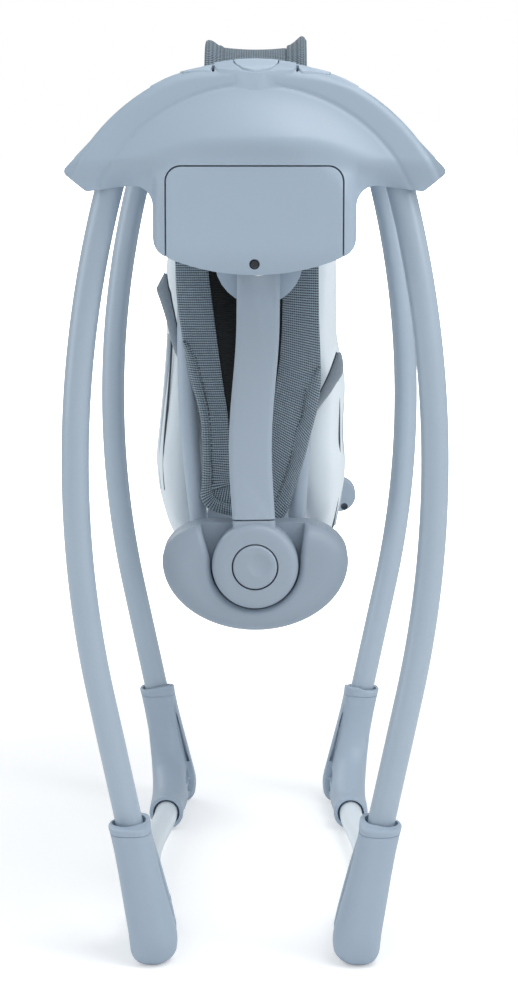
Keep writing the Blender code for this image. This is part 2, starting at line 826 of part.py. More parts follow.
def add_root_pieces(looks, root):
    """What the housings hold: pins, the door with its screw, cells, contacts, the board and the motor."""
    for side, where in ((NEAR, "near"), (FAR, "far")):
        for hand, name in ((LEFT, "left"), (RIGHT, "right")):
            x, z = leg_pin_place(hand)
            ends = (leg_pin_start_depth, leg_pin_depth)
            end_radius = leg_pin_radius - leg_pin_chamfer
            profile = [(ends[0], end_radius), (ends[0] + leg_pin_chamfer, leg_pin_radius),
                       (ends[1] - leg_pin_chamfer, leg_pin_radius), (ends[1], end_radius)]
            pin = turned((x, 0, z), Vector((0, side, 0)), profile, 10)
            add_piece(f"{where}_leg_pin_{name}", pin, looks["steel"], root)
    pocket_outer, pocket_inner = battery_depths()
    door = add_piece("battery_door", prism(door_outline(), NEAR, pocket_outer + seat_gap,
                                           housing_face_depth + cut_over), looks["shell"], root)
    combine(door, "INTERSECT", housing_body(NEAR))
    screw_top = housing_face_depth - door_screw_sunk
    head_base = screw_top - door_screw_head
    cut(door, rod((0, door_screw_z), NEAR, head_base - seat_gap, housing_face_depth + cut_over,
                  door_screw_radius + seat_gap))
    cut(door, rod((0, door_screw_z), NEAR, pocket_outer - cut_over, housing_face_depth,
                  door_screw_shank + seat_gap, 12))
    profile = [(door_screw_end_depth, door_screw_shank), (head_base, door_screw_shank),
               (head_base, door_screw_radius), (screw_top - seat_gap, door_screw_radius),
               (screw_top, door_screw_radius - seat_gap)]
    screw = add_piece("door_screw", turned((0, 0, door_screw_z), Vector((0, NEAR, 0)), profile, 16),
                      looks["steel"], root)
    reach, half = door_screw_radius * 2 / 3, door_screw_slot / 2
    for half_x, half_z in ((reach, half), (half, reach)):
        cut(screw, block((-half_x, NEAR * (screw_top + cut_over), door_screw_z - half_z),
                         (half_x, NEAR * (screw_top - door_screw_slot), door_screw_z + half_z)))
    add_cells(looks, root, pocket_inner)
    board = block((-board_half_x, NEAR * board_outer_depth, board_z),
                  (board_half_x, NEAR * board_inner_depth, board_top_z()))
    add_piece("circuit_board", board, looks["board"], root)
    place_x, place_z = pinion_place()
    rear = motor_rear_depth()
    front = rear - motor_length
    profile = [(front, motor_radius - motor_rounding), (front + motor_rounding, motor_radius),
               (rear - motor_rounding, motor_radius), (rear, motor_radius - motor_rounding)]
    motor = add_piece("drive_motor", turned((place_x, 0, place_z), Vector((0, NEAR, 0)), profile, 24),
                      looks["steel"], root)
    cut(motor, rod((place_x, place_z), NEAR, front - cut_over, front + motor_shaft_length + seat_gap,
                   motor_shaft_radius + seat_gap, 12))


def add_cells(looks, root, pocket_inner):
    """Four C cells in two rows, with a contact strip at each end of the pocket."""
    depth = pocket_inner + cell_clearance + cell_radius
    pitch = cell_radius + cell_clearance / 2
    number = 0
    for row in (1, -1):
        for hand in (LEFT, RIGHT):
            number += 1
            start = (hand * (cell_clearance / 2), NEAR * depth, battery_centre_z + row * pitch)
            shoulder = cell_length - cell_nub_length
            profile = [(0, cell_radius), (shoulder, cell_radius), (shoulder, cell_nub_radius),
                       (cell_length, cell_nub_radius)]
            cell = turned(start, Vector((hand, 0, 0)), profile, 14)
            add_piece(f"battery_{number}", cell, looks["cell"], root)
    half_x, half_z = battery_half_sizes()
    for hand, name in ((LEFT, "left"), (RIGHT, "right")):
        outer_x = hand * (half_x - seat_gap)
        inner_x = outer_x - hand * contact_thickness
        reach_z = half_z - contact_end_gap
        form = block((inner_x, NEAR * (depth - contact_half_width), battery_centre_z - reach_z),
                     (outer_x, NEAR * (depth + contact_half_width), battery_centre_z + reach_z))
        strip = add_piece(f"contact_{name}", form, looks["steel"], root)
        for row in (1, -1):
            base = (inner_x + hand * weld, NEAR * depth, battery_centre_z + row * pitch)
            reach = contact_room - contact_thickness - seat_gap - cell_clearance / 2
            bump = [(0, contact_bump_radius), (reach, contact_bump_tip)]
            join(strip, turned(base, Vector((-hand, 0, 0)), bump, 8))


def oval(half_a, half_b, squareness, count):
    """Points round an oval, as pairs. Above a squareness of 2 its corners fill out."""
    points = []
    for i in range(count):
        a = math.tau * (i + 0.5) / count
        reach = abs(math.cos(a)) ** squareness + abs(math.sin(a)) ** squareness
        reach = reach ** (-1 / squareness)
        points.append((half_a * reach * math.cos(a), half_b * reach * math.sin(a)))
    return points


def leg_path(side, hand, top, bottom, steps):
    return [(hand * leg_x(z), side * leg_depth, z) for z in spaced(top, bottom, steps)]


def leg_tube_end_z():
    return foot_wall_below_tube + foot_socket_end_gap


def add_leg(side, hand, name, looks, pivot):
    top = leg_pin_z + leg_end_above_pin
    path = leg_path(side, hand, top, leg_straight_z, 6) + leg_path(side, hand, leg_straight_z,
                                                                    leg_tube_end_z(), 1)[1:]
    leg = add_piece(name, tube(path, leg_tube_radius, leg_tube_wall, 12), looks["leg"], pivot)
    cut(leg, rod(leg_pin_place(hand), side, leg_depth - 2 * leg_tube_radius, leg_depth
                 + 2 * leg_tube_radius, leg_pin_radius + running_gap, 10))


def add_foot(side, hand, name, looks, pivot):
    """An elbow boot: a leg socket above and, turned towards the middle, the ring of the cross tube."""
    boot = []
    for z, half_x, half_y in foot_stations:
        centre_x = hand * leg_x(max(z, foot_toe_z))
        centre_y = side * foot_depth
        boot.append([(centre_x + x, centre_y + y, z) for x, y in oval(half_x, half_y, foot_squareness, 14)])
    elbow = []
    for past_mouth, x_inwards, centre_z, half_x, half_z, squareness in elbow_stations:
        centre_x = hand * (cross_tube_x - x_inwards)
        elbow.append([(centre_x + x, side * (elbow_mouth_depth + past_mouth), centre_z + z)
                      for x, z in oval(half_x, half_z, squareness, 14)])
    foot = add_piece(name, loft(boot), looks["foot"], pivot)
    join(foot, loft(elbow))
    socket = leg_path(side, hand, foot_rim_z + cut_over, leg_tube_end_z() - seat_gap, 1)
    cut(foot, bar(socket, leg_tube_radius + seat_gap, 14))
    flare = leg_path(side, hand, foot_rim_z + cut_over, foot_rim_z - foot_flare_length, 1)
    cut(foot, bar(flare, foot_flare_radius, 16))
    ring = (hand * cross_tube_x, cross_tube_z)
    socket_end = elbow_mouth_depth + elbow_socket_length
    cut(foot, rod(ring, side, elbow_mouth_depth - cut_over, socket_end + seat_gap,
                  cross_tube_radius + seat_gap, 16))
    cut(foot, rod(ring, side, elbow_mouth_depth - cut_over, elbow_mouth_depth + elbow_flare_length,
                  elbow_flare_radius, 16))


def add_cross_tube(hand, name, looks, pivot):
    """A floor tube, straight in the feet and bowed outwards between them."""
    end = elbow_mouth_depth + elbow_socket_length
    path = []
    for y in [-end, *spaced(-elbow_mouth_depth, elbow_mouth_depth, 6), end]:
        share = min(abs(y) / elbow_mouth_depth, 1)
        path.append((hand * (cross_tube_x + cross_tube_bow * (1 - share ** 2) ** 2), y, cross_tube_z))
    add_piece(name, tube(path, cross_tube_radius, cross_tube_wall, 12), looks["cross_tube"], pivot)


def add_leg_frame(hand, looks, root):
    which = "left" if hand == LEFT else "right"
    x, z = leg_pin_place(hand)
    pivot = add_pivot(f"{which}_leg_axis", (x, 0, z), root)
    for side, where in ((NEAR, "near"), (FAR, "far")):
        add_leg(side, hand, f"{which}_leg_{where}", looks, pivot)
        add_foot(side, hand, f"{which}_foot_{where}", looks, pivot)
    add_cross_tube(hand, f"{which}_cross_tube", looks, pivot)


def arm_x(z):
    """The arm's centre line: straight down from the axle, then bowed to the left above the hub."""
    lean = swing_axis_x * (z - hub_z) / (swing_axis_z - hub_z)
    along = min(max((arm_bow_top_z - z) / (arm_bow_top_z - hub_z), 0), 1)
    return lean - arm_bow * math.sin(math.pi * along) ** 2


def arm_mid_depth():
    return (arm_inner_depth + arm_outer_depth) / 2


def tongue(side, gap):
    """The arm's square tongue, or the pocket for it, in the hub fitting."""
    x = arm_x(arm_end_z)
    half_x, half_y = arm_tongue_half_x + gap, arm_tongue_half_depth + gap
    middle = side * arm_mid_depth()
    return block((x - half_x, middle - half_y, arm_end_z - arm_tongue_length - gap),
                 (x + half_x, middle + half_y, arm_end_z + arm_tongue_length / 2))


def add_arm(side, where, looks, pivot):
    right = [(arm_x(z) + arm_half_x, z) for z in spaced(arm_bow_top_z, arm_end_z, 8)]
    left = [(x - 2 * arm_half_x, z) for x, z in reversed(right)]
    top = arc(swing_axis_x, swing_axis_z, arm_half_x, 180, 0, 10)
    arm = add_piece(f"swing_arm_{where}", prism(right + left + top, side, arm_inner_depth,
                                                 arm_outer_depth), looks["arm"], pivot)
    soften(arm, arm_rounding, 2)
    join(arm, tongue(side, 0))
    cut(arm, rod((swing_axis_x, swing_axis_z), side, arm_inner_depth - cut_over,
                 arm_outer_depth + cut_over, axle_radius + seat_gap, 16))
    end_radius = axle_radius - axle_chamfer
    profile = [(axle_start_depth, end_radius), (axle_start_depth + axle_chamfer, axle_radius),
               (axle_end_depth - axle_chamfer, axle_radius), (axle_end_depth, end_radius)]
    axle = turned((swing_axis_x, 0, swing_axis_z), Vector((0, side, 0)), profile, 16)
    add_piece(f"swing_axle_{where}", axle, looks["steel"], pivot)


def involute(angle):
    return math.tan(angle) - angle


def tooth_points(pitch_radius, root_radius, tip_radius, centre_angle):
    """One gear tooth as (radius, angle) pairs, from its right root to its left root."""
    base_radius = pitch_radius * math.cos(gear_pressure_angle)
    half_at_pitch = (math.pi * gear_module - tooth_backlash) / 4 / pitch_radius
    flank = []
    for radius in spaced(max(root_radius, base_radius), tip_radius, 2):
        here = math.acos(min(base_radius / radius, 1))
        flank.append((radius, half_at_pitch + involute(gear_pressure_angle) - involute(here)))
    flank = [(root_radius, flank[0][1])] + flank if root_radius < base_radius else flank
    right = [(radius, centre_angle - half) for radius, half in flank]
    left = [(radius, centre_angle + half) for radius, half in reversed(flank)]
    return right + left


def gear_radii(teeth):
    pitch_radius = gear_module * teeth / 2
    return pitch_radius, pitch_radius - gear_root_depth, pitch_radius + gear_tip_height


def add_drive(looks, swing, pinion_pivot):
    """The toothed sector on the near axle and the pinion on the motor's shaft, which it meshes with."""
    inner, outer = sector_inner_depth, sector_inner_depth + sector_thickness
    points = []
    for step in range(-sector_half_teeth, sector_half_teeth + 1):
        centre_angle = math.pi / 2 + math.tau * step / sector_teeth
        points += tooth_points(*gear_radii(sector_teeth), centre_angle)
    rim = [(swing_axis_x + r * math.cos(a), swing_axis_z + r * math.sin(a)) for r, a in points]
    boss = arc(swing_axis_x, swing_axis_z, sector_boss_radius, 165, 375, 8)
    sector = add_piece("drive_sector", prism(rim + boss, NEAR, inner, outer), looks["white"], swing)
    axis = (swing_axis_x, swing_axis_z)
    cut(sector, rod(axis, NEAR, inner - cut_over, outer + cut_over, axle_radius + seat_gap, 16))
    join(sector, sector_spacer(inner))
    place = pinion_place()
    pinion_points = []
    for step in range(pinion_teeth):
        centre_angle = -math.pi / 2 + math.tau * (step + 0.5) / pinion_teeth
        pinion_points += tooth_points(*gear_radii(pinion_teeth), centre_angle)
    outline = [(place[0] + r * math.cos(a), place[1] + r * math.sin(a)) for r, a in pinion_points]
    pinion = add_piece("drive_pinion", prism(outline, NEAR, inner + seat_gap, outer + seat_gap),
                       looks["white"], pinion_pivot)
    shaft_end = motor_rear_depth() - motor_length + motor_shaft_length
    join(pinion, rod(place, NEAR, outer - weld, shaft_end, motor_shaft_radius, 12))


def sector_spacer(inner):
    """The collar that holds the sector off the arm, bored for the axle."""
    collar = bmesh.new()
    rings = []
    for depth, radius in ((arm_outer_depth + seat_gap, axle_radius + seat_gap),
                          (arm_outer_depth + seat_gap, sector_collar_radius),
                          (inner + weld, sector_collar_radius),
                          (inner + weld, axle_radius + seat_gap)):
        ring = circle(swing_axis_x, swing_axis_z, radius, 16)
        rings.append([collar.verts.new((x, NEAR * depth, z)) for x, z in ring])
    for one, other in zip(rings, rings[1:] + rings[:1]):
        for i in range(16):
            collar.faces.new((one[i - 1], one[i], other[i], other[i - 1]))
    return collar


def add_hub(side, where, looks, pivot, button_pivot):
    """The fitting at the arm's foot, a domed round end that the seat bracket turns on."""
    across = Vector((0, side, 0))
    back = pocket_floor_depth + seat_gap
    dome = [(back, hub_radius - seat_gap), (back + seat_gap, hub_radius)]
    dome += [(hub_outer_depth - behind, hub_radius - inwards) for behind, inwards in hub_dome]
    hub = add_piece(f"hub_{where}", turned((0, 0, hub_z), across, dome, 28), looks["arm"], pivot)
    top = arm_end_z - seat_gap
    neck_x = arm_x(top)
    spread_z = hub_z + math.sqrt(hub_radius ** 2 - hub_neck_spread ** 2)
    neck = [(neck_x + arm_half_x, top), (neck_x - arm_half_x, top), (-hub_neck_spread, spread_z),
            (-arm_half_x, hub_z), (arm_half_x, hub_z), (hub_neck_spread, spread_z)]
    neck_form = prism(neck, side, arm_inner_depth, arm_outer_depth)
    edges = [edge for edge in neck_form.edges if abs(edge.verts[0].co.z - edge.verts[1].co.z) > weld]
    bmesh.ops.bevel(neck_form, geom=edges, offset=arm_rounding, segments=2, affect="EDGES", profile=0.5)
    join(hub, neck_form)
    cut(hub, rod((0, hub_z), side, hub_bore_floor_depth, hub_outer_depth + cut_over,
                 hub_button_radius + seat_gap, 24))
    cut(hub, rod((0, hub_z), side, pocket_floor_depth - cut_over, hub_stud_end_depth + seat_gap,
                 hub_stud_radius + running_gap, 16))
    cut(hub, tongue(side, seat_gap))
    face = hub_outer_depth + hub_button_proud
    cap = [(hub_bore_floor_depth + hub_button_travel + running_gap, hub_button_radius)]
    cap += [(face - behind, hub_button_radius - inwards) for behind, inwards in hub_button_dome]
    button = add_piece(f"hub_button_{where}", turned((0, 0, hub_z), across, cap, 24), looks["arm"],
                       button_pivot)
    dimple = [(face - behind, radius) for behind, radius in hub_dimple]
    cut(button, turned((dimple_offset[0], 0, hub_z + dimple_offset[1]), across, dimple, 14))


def bracket_outline():
    """A low half moon: a flat top, well rounded ends and one long curve below."""
    corner_x, corner_z = bracket_half_x - bracket_flat_x, bracket_top_z - bracket_widest_z
    below = bracket_widest_z - bracket_bottom_z
    end = [(bracket_flat_x + corner_x * x, bracket_widest_z + corner_z * z)
           for x, z in arc(0, 0, 1, 90, 0, 6)]
    under = [(bracket_half_x * x, bracket_widest_z + below * z) for x, z in arc(0, 0, 1, 0, -90, 10)]
    return mirrored([(0, bracket_top_z)] + end + under[1:])


def pocket_outline():
    """The bracket's pocket: a round seat for the hub that opens upwards for the arm."""
    radius = hub_radius + pocket_gap
    below = arc(0, hub_z, radius, 0, -180, 14)
    top = bracket_top_z + cut_over
    return below + [(-pocket_left_x, top), (pocket_right_x, top)]


def rail_hinges():
    return (back_hinge_x, rail_hinge_z), (seat_hinge_x, rail_hinge_z)


def add_bracket(side, where, looks, pivot):
    """A seat bracket: a half moon moulding with the hub's pocket outside and the frame studs inside."""
    bracket = add_piece(f"seat_bracket_{where}", prism(bracket_outline(), side, bracket_inner_depth,
                                                       bracket_outer_depth), looks["bracket"], pivot)
    soften(bracket, bracket_rounding, 2)
    floor_back = pocket_floor_depth - bracket_wall
    cut(bracket, prism(inset(bracket_outline(), bracket_wall), side, bracket_inner_depth - cut_over,
                       floor_back))
    cut(bracket, prism(pocket_outline(), side, pocket_floor_depth, bracket_outer_depth + cut_over))
    join(bracket, rod((0, hub_z), side, floor_back + weld, hub_stud_end_depth, hub_stud_radius, 16))
    stud_end = rail_depth - rail_radius - rail_stud_over
    for place in rail_hinges():
        join(bracket, rod(place, side, bracket_inner_depth + weld, floor_back + weld,
                          rail_stud_radius + stud_boss_wall, 12))
        join(bracket, rod(place, side, stud_end, floor_back + weld, rail_stud_radius, 10))
    if side == FAR:
        ear_start = bracket_inner_depth + weld / 2
        join(bracket, rod(ear_centre, side, ear_start, ear_depth, ear_radius, 24))
        cut(bracket, rod(ear_screw, side, ear_start - cut_over, ear_start + ear_screw_length,
                         ear_screw_radius, 12))


def rail_path(hinge_x, top_x, bow):
    """Half a seat frame's centre line on the near side, from its lower end to the middle of its top bar."""
    def rail_x(z):
        share = (z - rail_hinge_z) / (rail_top_z - rail_hinge_z)
        return hinge_x + (top_x - hinge_x) * share + 4 * bow * share * (1 - share)
    turn_z = rail_top_z - rail_corner
    turn_depth = rail_depth - rail_corner
    path = [(rail_x(z), -rail_depth, z) for z in spaced(rail_hinge_z - rail_end_below, turn_z, 5)]
    for degrees in (45, 90):
        a = math.radians(degrees)
        z = turn_z + rail_corner * math.sin(a)
        path.append((rail_x(z), -turn_depth - rail_corner * math.cos(a), z))
    return path


def add_rails(name, hinge_x, top_x, bow, looks, pivot):
    half = rail_path(hinge_x, top_x, bow)
    path = half + [(x, -y, z) for x, y, z in reversed(half)]
    frame = add_piece(name, tube(path, rail_radius, rail_wall, 10), looks["rail"], pivot)
    for side in (NEAR, FAR):
        cut(frame, rod((hinge_x, rail_hinge_z), side, rail_depth - 2 * rail_radius, rail_depth
                       + 2 * rail_radius, rail_stud_radius + running_gap, 10))


def add_pad(name, stations, look, pivot):
    """A padded panel between the rails, from (share of its height, inner x, outer x) stations."""
    inner_corner = rail_corner - rail_radius - pad_clearance
    rings = []
    for share, inner_x, outer_x in stations:
        z = pad_bottom_z + share * (pad_top_z - pad_bottom_z)
        rise = min(max(z - (rail_top_z - rail_corner), 0), inner_corner)
        width = rail_depth - rail_corner + math.sqrt(inner_corner ** 2 - rise ** 2)
        width -= pad_bottom_draw * max(1 - (z - pad_bottom_z) / pad_bottom_fade, 0) ** 2
        half_x, middle = (outer_x - inner_x) / 2, (outer_x + inner_x) / 2
        rings.append([(middle + x, y, z) for x, y in oval(abs(half_x), width, pad_squareness, 24)])
    add_piece(name, loft(rings), look, pivot)


def add_band(name, side, edges, look, pivot):
    """A woven side band, from (share of the height, left x, right x) stations."""
    height = rail_top_z - rail_hinge_z
    right = [(right_x, rail_hinge_z + share * height) for share, _, right_x in edges]
    left = [(left_x, rail_hinge_z + share * height) for share, left_x, _ in reversed(edges)]
    half = band_thickness / 2
    add_piece(name, prism(right + left, side, band_depth - half, band_depth + half), look, pivot)


def add_top_cloth(looks, back, seat):
    """The cloth over the top bars: a sagging band between two upright folds."""
    half = cloth_half_width
    low = rail_top_z + rail_radius + seat_gap
    fold_x = cloth_left_x + left_fold_width
    over = [(cloth_left_x, low), (fold_x, low)]
    sag_x = spaced(back_top_x + rail_radius, seat_top_x - rail_radius, 6)
    under = [(x, low + seat_gap - cloth_sag * math.sin(math.pi * i / 6)) for i, x in enumerate(sag_x)]
    end = [(cloth_right_x, low), (cloth_right_x, low + cloth_thickness)]
    upper = [(x, z + cloth_thickness) for x, z in reversed(under)]
    fold = [(fold_x, low + cloth_thickness + weld), (fold_x - left_fold_narrowing, low + left_fold_height),
            (cloth_left_x + left_fold_narrowing, low + left_fold_height)]
    outline = over + under + end + upper + fold
    shape = prism(outline, 1, -half, half)
    add_piece("top_cloth_band", shape, looks["woven"], back)
    inner_x = cloth_right_x + seat_gap
    outer_x = inner_x + right_fold_width
    right = [(inner_x, low), (outer_x, low), (outer_x + right_fold_lean, low + right_fold_height),
             (inner_x + right_fold_lean, low + right_fold_height - right_fold_slant)]
    add_piece("top_cloth_fold", prism(right, 1, -half, half), looks["woven"], seat)


def add_seat(looks, back, seat):
    add_rails("backrest_frame", back_hinge_x, back_top_x, -back_bow, looks, back)
    add_rails("seat_frame", seat_hinge_x, seat_top_x, seat_bow, looks, seat)
    add_pad("backrest_pad", back_pad_stations, looks["cloth"], back)
    add_pad("seat_pad", seat_pad_stations, looks["cloth"], seat)
    for side, where in ((NEAR, "near"), (FAR, "far")):
        add_band(f"backrest_band_{where}", side, back_band_edges, looks["woven"], back)
        add_band(f"seat_band_{where}", side, seat_band_edges, looks["woven"], seat)
    add_top_cloth(looks, back, seat)


def add_crest_buttons(looks, root):
    """Three pads in the crest, cut from its own curved form, each on a stem over the board."""
    proud = add_tool("crest_above_buttons", housing_body(NEAR, button_proud))
    under = add_tool("crest_below_buttons", housing_body(NEAR, -button_thickness))
    for name, plan in button_plans().items():
        outline = rounded(plan, 2)
        x = sum(point[0] for point in outline) / len(outline)
        pivot = add_pivot(f"{name}_axis", (x, NEAR * button_stem_depth, board_top_z()), root)
        pad = upright_prism(outline, board_top_z() + 2 * button_room, above_crest_z())
        button = add_piece(name, pad, looks["button"], pivot)
        combine(button, "INTERSECT", proud)
        cut(button, under)
        stem_bottom = board_top_z() + button_travel + seat_gap
        top = crest_centre_z + math.sqrt((crest_radius - button_thickness * 3 / 4) ** 2 - x ** 2)
        half = button_stem_width / 2
        join(button, block((x - half, NEAR * button_stem_depth - half, stem_bottom),
                           (x + half, NEAR * button_stem_depth + half, top)))


def add_leg_lock(side, where, looks, root):
    """The round button on the inner cover that frees the two legs of its side."""
    pivot = add_pivot(f"leg_lock_{where}_axis", (0, side * cover_face_depth, lock_z), root)
    face = cover_face_depth - lock_proud
    profile = [(face + behind, lock_radius - inwards) for behind, inwards in lock_dome]
    profile.append((cover_face_depth + housing_wall + weld, lock_radius))
    add_piece(f"leg_lock_{where}", turned((0, 0, lock_z), Vector((0, side, 0)), profile, 24),
              looks["button"], pivot)


def build():
    clear_scene()
    looks = {
        "shell": material("shell_plastic", (0.34, 0.43, 0.52), 0.42),
        "arm": material("arm_plastic", (0.36, 0.43, 0.51), 0.45),
        "bracket": material("bracket_plastic", (0.33, 0.40, 0.48), 0.45),
        "button": material("button_plastic", (0.38, 0.46, 0.55), 0.40),
        "leg": material("leg_paint", (0.40, 0.49, 0.58), 0.38),
        "foot": material("foot_plastic", (0.34, 0.42, 0.51), 0.45),
        "cross_tube": material("cross_tube_paint", (0.62, 0.72, 0.80), 0.30, 0.4),
        "steel": material("bright_steel", (0.62, 0.63, 0.65), 0.30, 1.0),
        "rail": material("rail_paint", (0.30, 0.34, 0.39), 0.45),
        "white": material("gear_nylon", (0.85, 0.85, 0.83), 0.45),
        "cell": material("cell_sleeve", (0.10, 0.12, 0.15), 0.40),
        "board": material("board_laminate", (0.05, 0.22, 0.12), 0.50),
        "cloth": material("pad_cloth", (0.72, 0.80, 0.86), 0.85),
        "woven": material("woven_cloth", (0.22, 0.28, 0.34), 0.90),
    }
    root = add_pivot("housings", (0, 0, 0))
    add_housing(NEAR, looks, root)
    add_housing(FAR, looks, root)
    add_root_pieces(looks, root)
    add_crest_buttons(looks, root)
    add_leg_frame(LEFT, looks, root)
    add_leg_frame(RIGHT, looks, root)
    swing = add_pivot("swing_axis", (swing_axis_x, 0, swing_axis_z), root)
    pinion_x, pinion_z = pinion_place()
    pinion_pivot = add_pivot("pinion_axis", (pinion_x, 0, pinion_z), root)
    add_drive(looks, swing, pinion_pivot)
    tilt = add_pivot("seat_tilt_axis", (0, 0, hub_z), swing)
    for side, where in ((NEAR, "near"), (FAR, "far")):
        add_leg_lock(side, where, looks, root)
        add_arm(side, where, looks, swing)
        button_pivot = add_pivot(f"hub_button_{where}_axis", (0, side * hub_outer_depth, hub_z), swing)
        add_hub(side, where, looks, swing, button_pivot)
        add_bracket(side, where, looks, tilt)
    back = add_pivot("backrest_axis", (back_hinge_x, 0, rail_hinge_z), tilt)
    seat = add_pivot("seat_axis", (seat_hinge_x, 0, rail_hinge_z), tilt)
    add_seat(looks, back, seat)


build()
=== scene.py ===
import math

import bmesh
import bpy
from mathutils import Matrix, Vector


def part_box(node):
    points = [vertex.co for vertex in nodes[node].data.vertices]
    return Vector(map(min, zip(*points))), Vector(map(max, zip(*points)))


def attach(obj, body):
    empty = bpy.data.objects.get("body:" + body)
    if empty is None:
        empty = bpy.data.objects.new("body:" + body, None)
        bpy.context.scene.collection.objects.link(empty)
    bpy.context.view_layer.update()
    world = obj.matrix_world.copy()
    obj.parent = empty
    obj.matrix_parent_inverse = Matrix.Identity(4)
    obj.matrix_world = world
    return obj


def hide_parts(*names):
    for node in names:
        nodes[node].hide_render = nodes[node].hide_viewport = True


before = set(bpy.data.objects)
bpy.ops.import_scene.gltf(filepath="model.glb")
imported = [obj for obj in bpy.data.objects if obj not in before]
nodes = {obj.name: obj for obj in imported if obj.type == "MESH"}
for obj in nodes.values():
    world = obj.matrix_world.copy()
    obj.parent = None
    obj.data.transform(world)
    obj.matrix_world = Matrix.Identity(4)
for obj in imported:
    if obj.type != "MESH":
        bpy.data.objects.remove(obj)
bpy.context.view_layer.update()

bpy.ops.object.select_all(action="DESELECT")

# Studio
# A seamless pale floor under a white surround, lit by large soft boxes: two above, one low on the left and
# one behind. The camera stands a little below the crest and looks slightly down at the swing's near end.
bpy.context.scene.view_settings.view_transform = "Standard"

camera = bpy.data.objects.new("camera", bpy.data.cameras.new("camera"))
bpy.context.collection.objects.link(camera)
camera.location = (0.016, -2.093, 0.620)
camera.rotation_euler = (math.radians(81.36), 0, math.radians(0.403))
camera.data.sensor_fit = "VERTICAL"
camera.data.sensor_height = 36
camera.data.lens = 97.2
camera.data.clip_end = 60
bpy.context.scene.camera = camera


def add_soft_box(name, place, aim, size, watts, colour=(1, 1, 1)):
    """A square area lamp at a place, turned to face a point."""
    lamp = bpy.data.objects.new(name, bpy.data.lights.new(name, "AREA"))
    lamp.data.shape = "SQUARE"
    lamp.data.size = size
    lamp.data.energy = watts
    lamp.data.color = colour
    lamp.location = place
    lamp.rotation_euler = (Vector(aim) - Vector(place)).to_track_quat("-Z", "Y").to_euler()
    bpy.context.collection.objects.link(lamp)


add_soft_box("lamp_top", (0.75, -0.85, 2.2), (0, 0, 0.42), 1.3, 21)
add_soft_box("lamp_right", (1.9, -1.3, 1.35), (0, 0, 0.45), 1.1, 11)
add_soft_box("lamp_left", (-2.1, -0.7, 0.85), (0, 0, 0.25), 1.4, 9, (0.97, 0.99, 1.0))
add_soft_box("lamp_back", (-1.3, 1.5, 1.5), (0, 0.1, 0.30), 1.2, 10)


def add_node(tree, kind, settings=None, **values):
    """A node of a kind, with its settings and the values of its inputs."""
    made = tree.nodes.new("ShaderNode" + kind)
    for key, value in (settings or {}).items():
        setattr(made, key, value)
    for key, value in values.items():
        made.inputs[key.replace("_", " ")].default_value = value
    return made


world = bpy.data.worlds.new("surround")
world.use_nodes = True
bpy.context.scene.world = world
sky = world.node_tree
sky_light = sky.nodes["Background"]
sky_light.inputs["Color"].default_value = (0.93, 0.965, 1.0, 1.0)
sky_light.inputs["Strength"].default_value = 0.51
sky_seen = add_node(sky, "Background", Color=(1, 1, 1, 1), Strength=1.0)
sky_rays = add_node(sky, "LightPath")
sky_mix = add_node(sky, "MixShader")
for source, target in ((sky_rays.outputs["Is Camera Ray"], sky_mix.inputs[0]),
                       (sky_light.outputs[0], sky_mix.inputs[1]),
                       (sky_seen.outputs[0], sky_mix.inputs[2]),
                       (sky_mix.outputs[0], sky.nodes["World Output"].inputs["Surface"])):
    sky.links.new(source, target)

bpy.ops.mesh.primitive_plane_add(size=30, location=(0, 8, -0.0003))
floor = bpy.context.object
floor.name = "floor"
bpy.ops.object.transform_apply(location=True, rotation=True, scale=True)
floor_look = bpy.data.materials.new("studio_floor")
floor_look.use_nodes = True
floor_tree = floor_look.node_tree
floor_shader = floor_tree.nodes["Principled BSDF"]
floor_shader.inputs["Base Color"].default_value = (0.93, 0.935, 0.94, 1)
floor_shader.inputs["Roughness"].default_value = 0.95
floor_shader.inputs["Specular IOR Level"].default_value = 0.0
floor_seen = add_node(floor_tree, "Emission", Strength=2.8)
floor_rays = add_node(floor_tree, "LightPath")
floor_place = add_node(floor_tree, "TexCoord")
floor_reach = add_node(floor_tree, "VectorMath", {"operation": "LENGTH"})
floor_fade = add_node(floor_tree, "MapRange", From_Min=0.5, From_Max=2.2, To_Min=0.13)
floor_share = add_node(floor_tree, "Math", {"operation": "MULTIPLY"})
floor_mix = add_node(floor_tree, "MixShader")
for source, target in ((floor_place.outputs["Object"], floor_reach.inputs[0]),
                       (floor_reach.outputs["Value"], floor_fade.inputs[0]),
                       (floor_fade.outputs[0], floor_share.inputs[1]),
                       (floor_rays.outputs["Is Camera Ray"], floor_share.inputs[0]),
                       (floor_share.outputs[0], floor_mix.inputs[0]),
                       (floor_shader.outputs[0], floor_mix.inputs[1]),
                       (floor_seen.outputs[0], floor_mix.inputs[2]),
                       (floor_mix.outputs[0], floor_tree.nodes["Material Output"].inputs["Surface"])):
    floor_tree.links.new(source, target)
floor.data.materials.append(floor_look)

# Housings
# Two moulded shells of cool grey-blue plastic, one on each side, that hold the legs under their wings
# and the swing arms in the middle. Each is one domed outer moulding with a flat inner cover clipped in.
side_of = {"near": -1, "far": 1}
past_face = 0.290  # a depth beyond any outer face, where cutting tools end
crest_z, crest_radius, body_half_x = 0.4995, 0.1412, 0.0693


def new_material(name, colour, roughness, metallic=0.0, **sockets):
    """A principled material, with its node tree ready for the pattern that is added to it."""
    made = bpy.data.materials.new(name)
    made.use_nodes = True
    shader = made.node_tree.nodes["Principled BSDF"]
    shader.inputs["Base Color"].default_value = (*colour, 1)
    shader.inputs["Roughness"].default_value = roughness
    shader.inputs["Metallic"].default_value = metallic
    for socket, value in sockets.items():
        shader.inputs[socket.replace("_", " ")].default_value = value
    return made, made.node_tree, shader


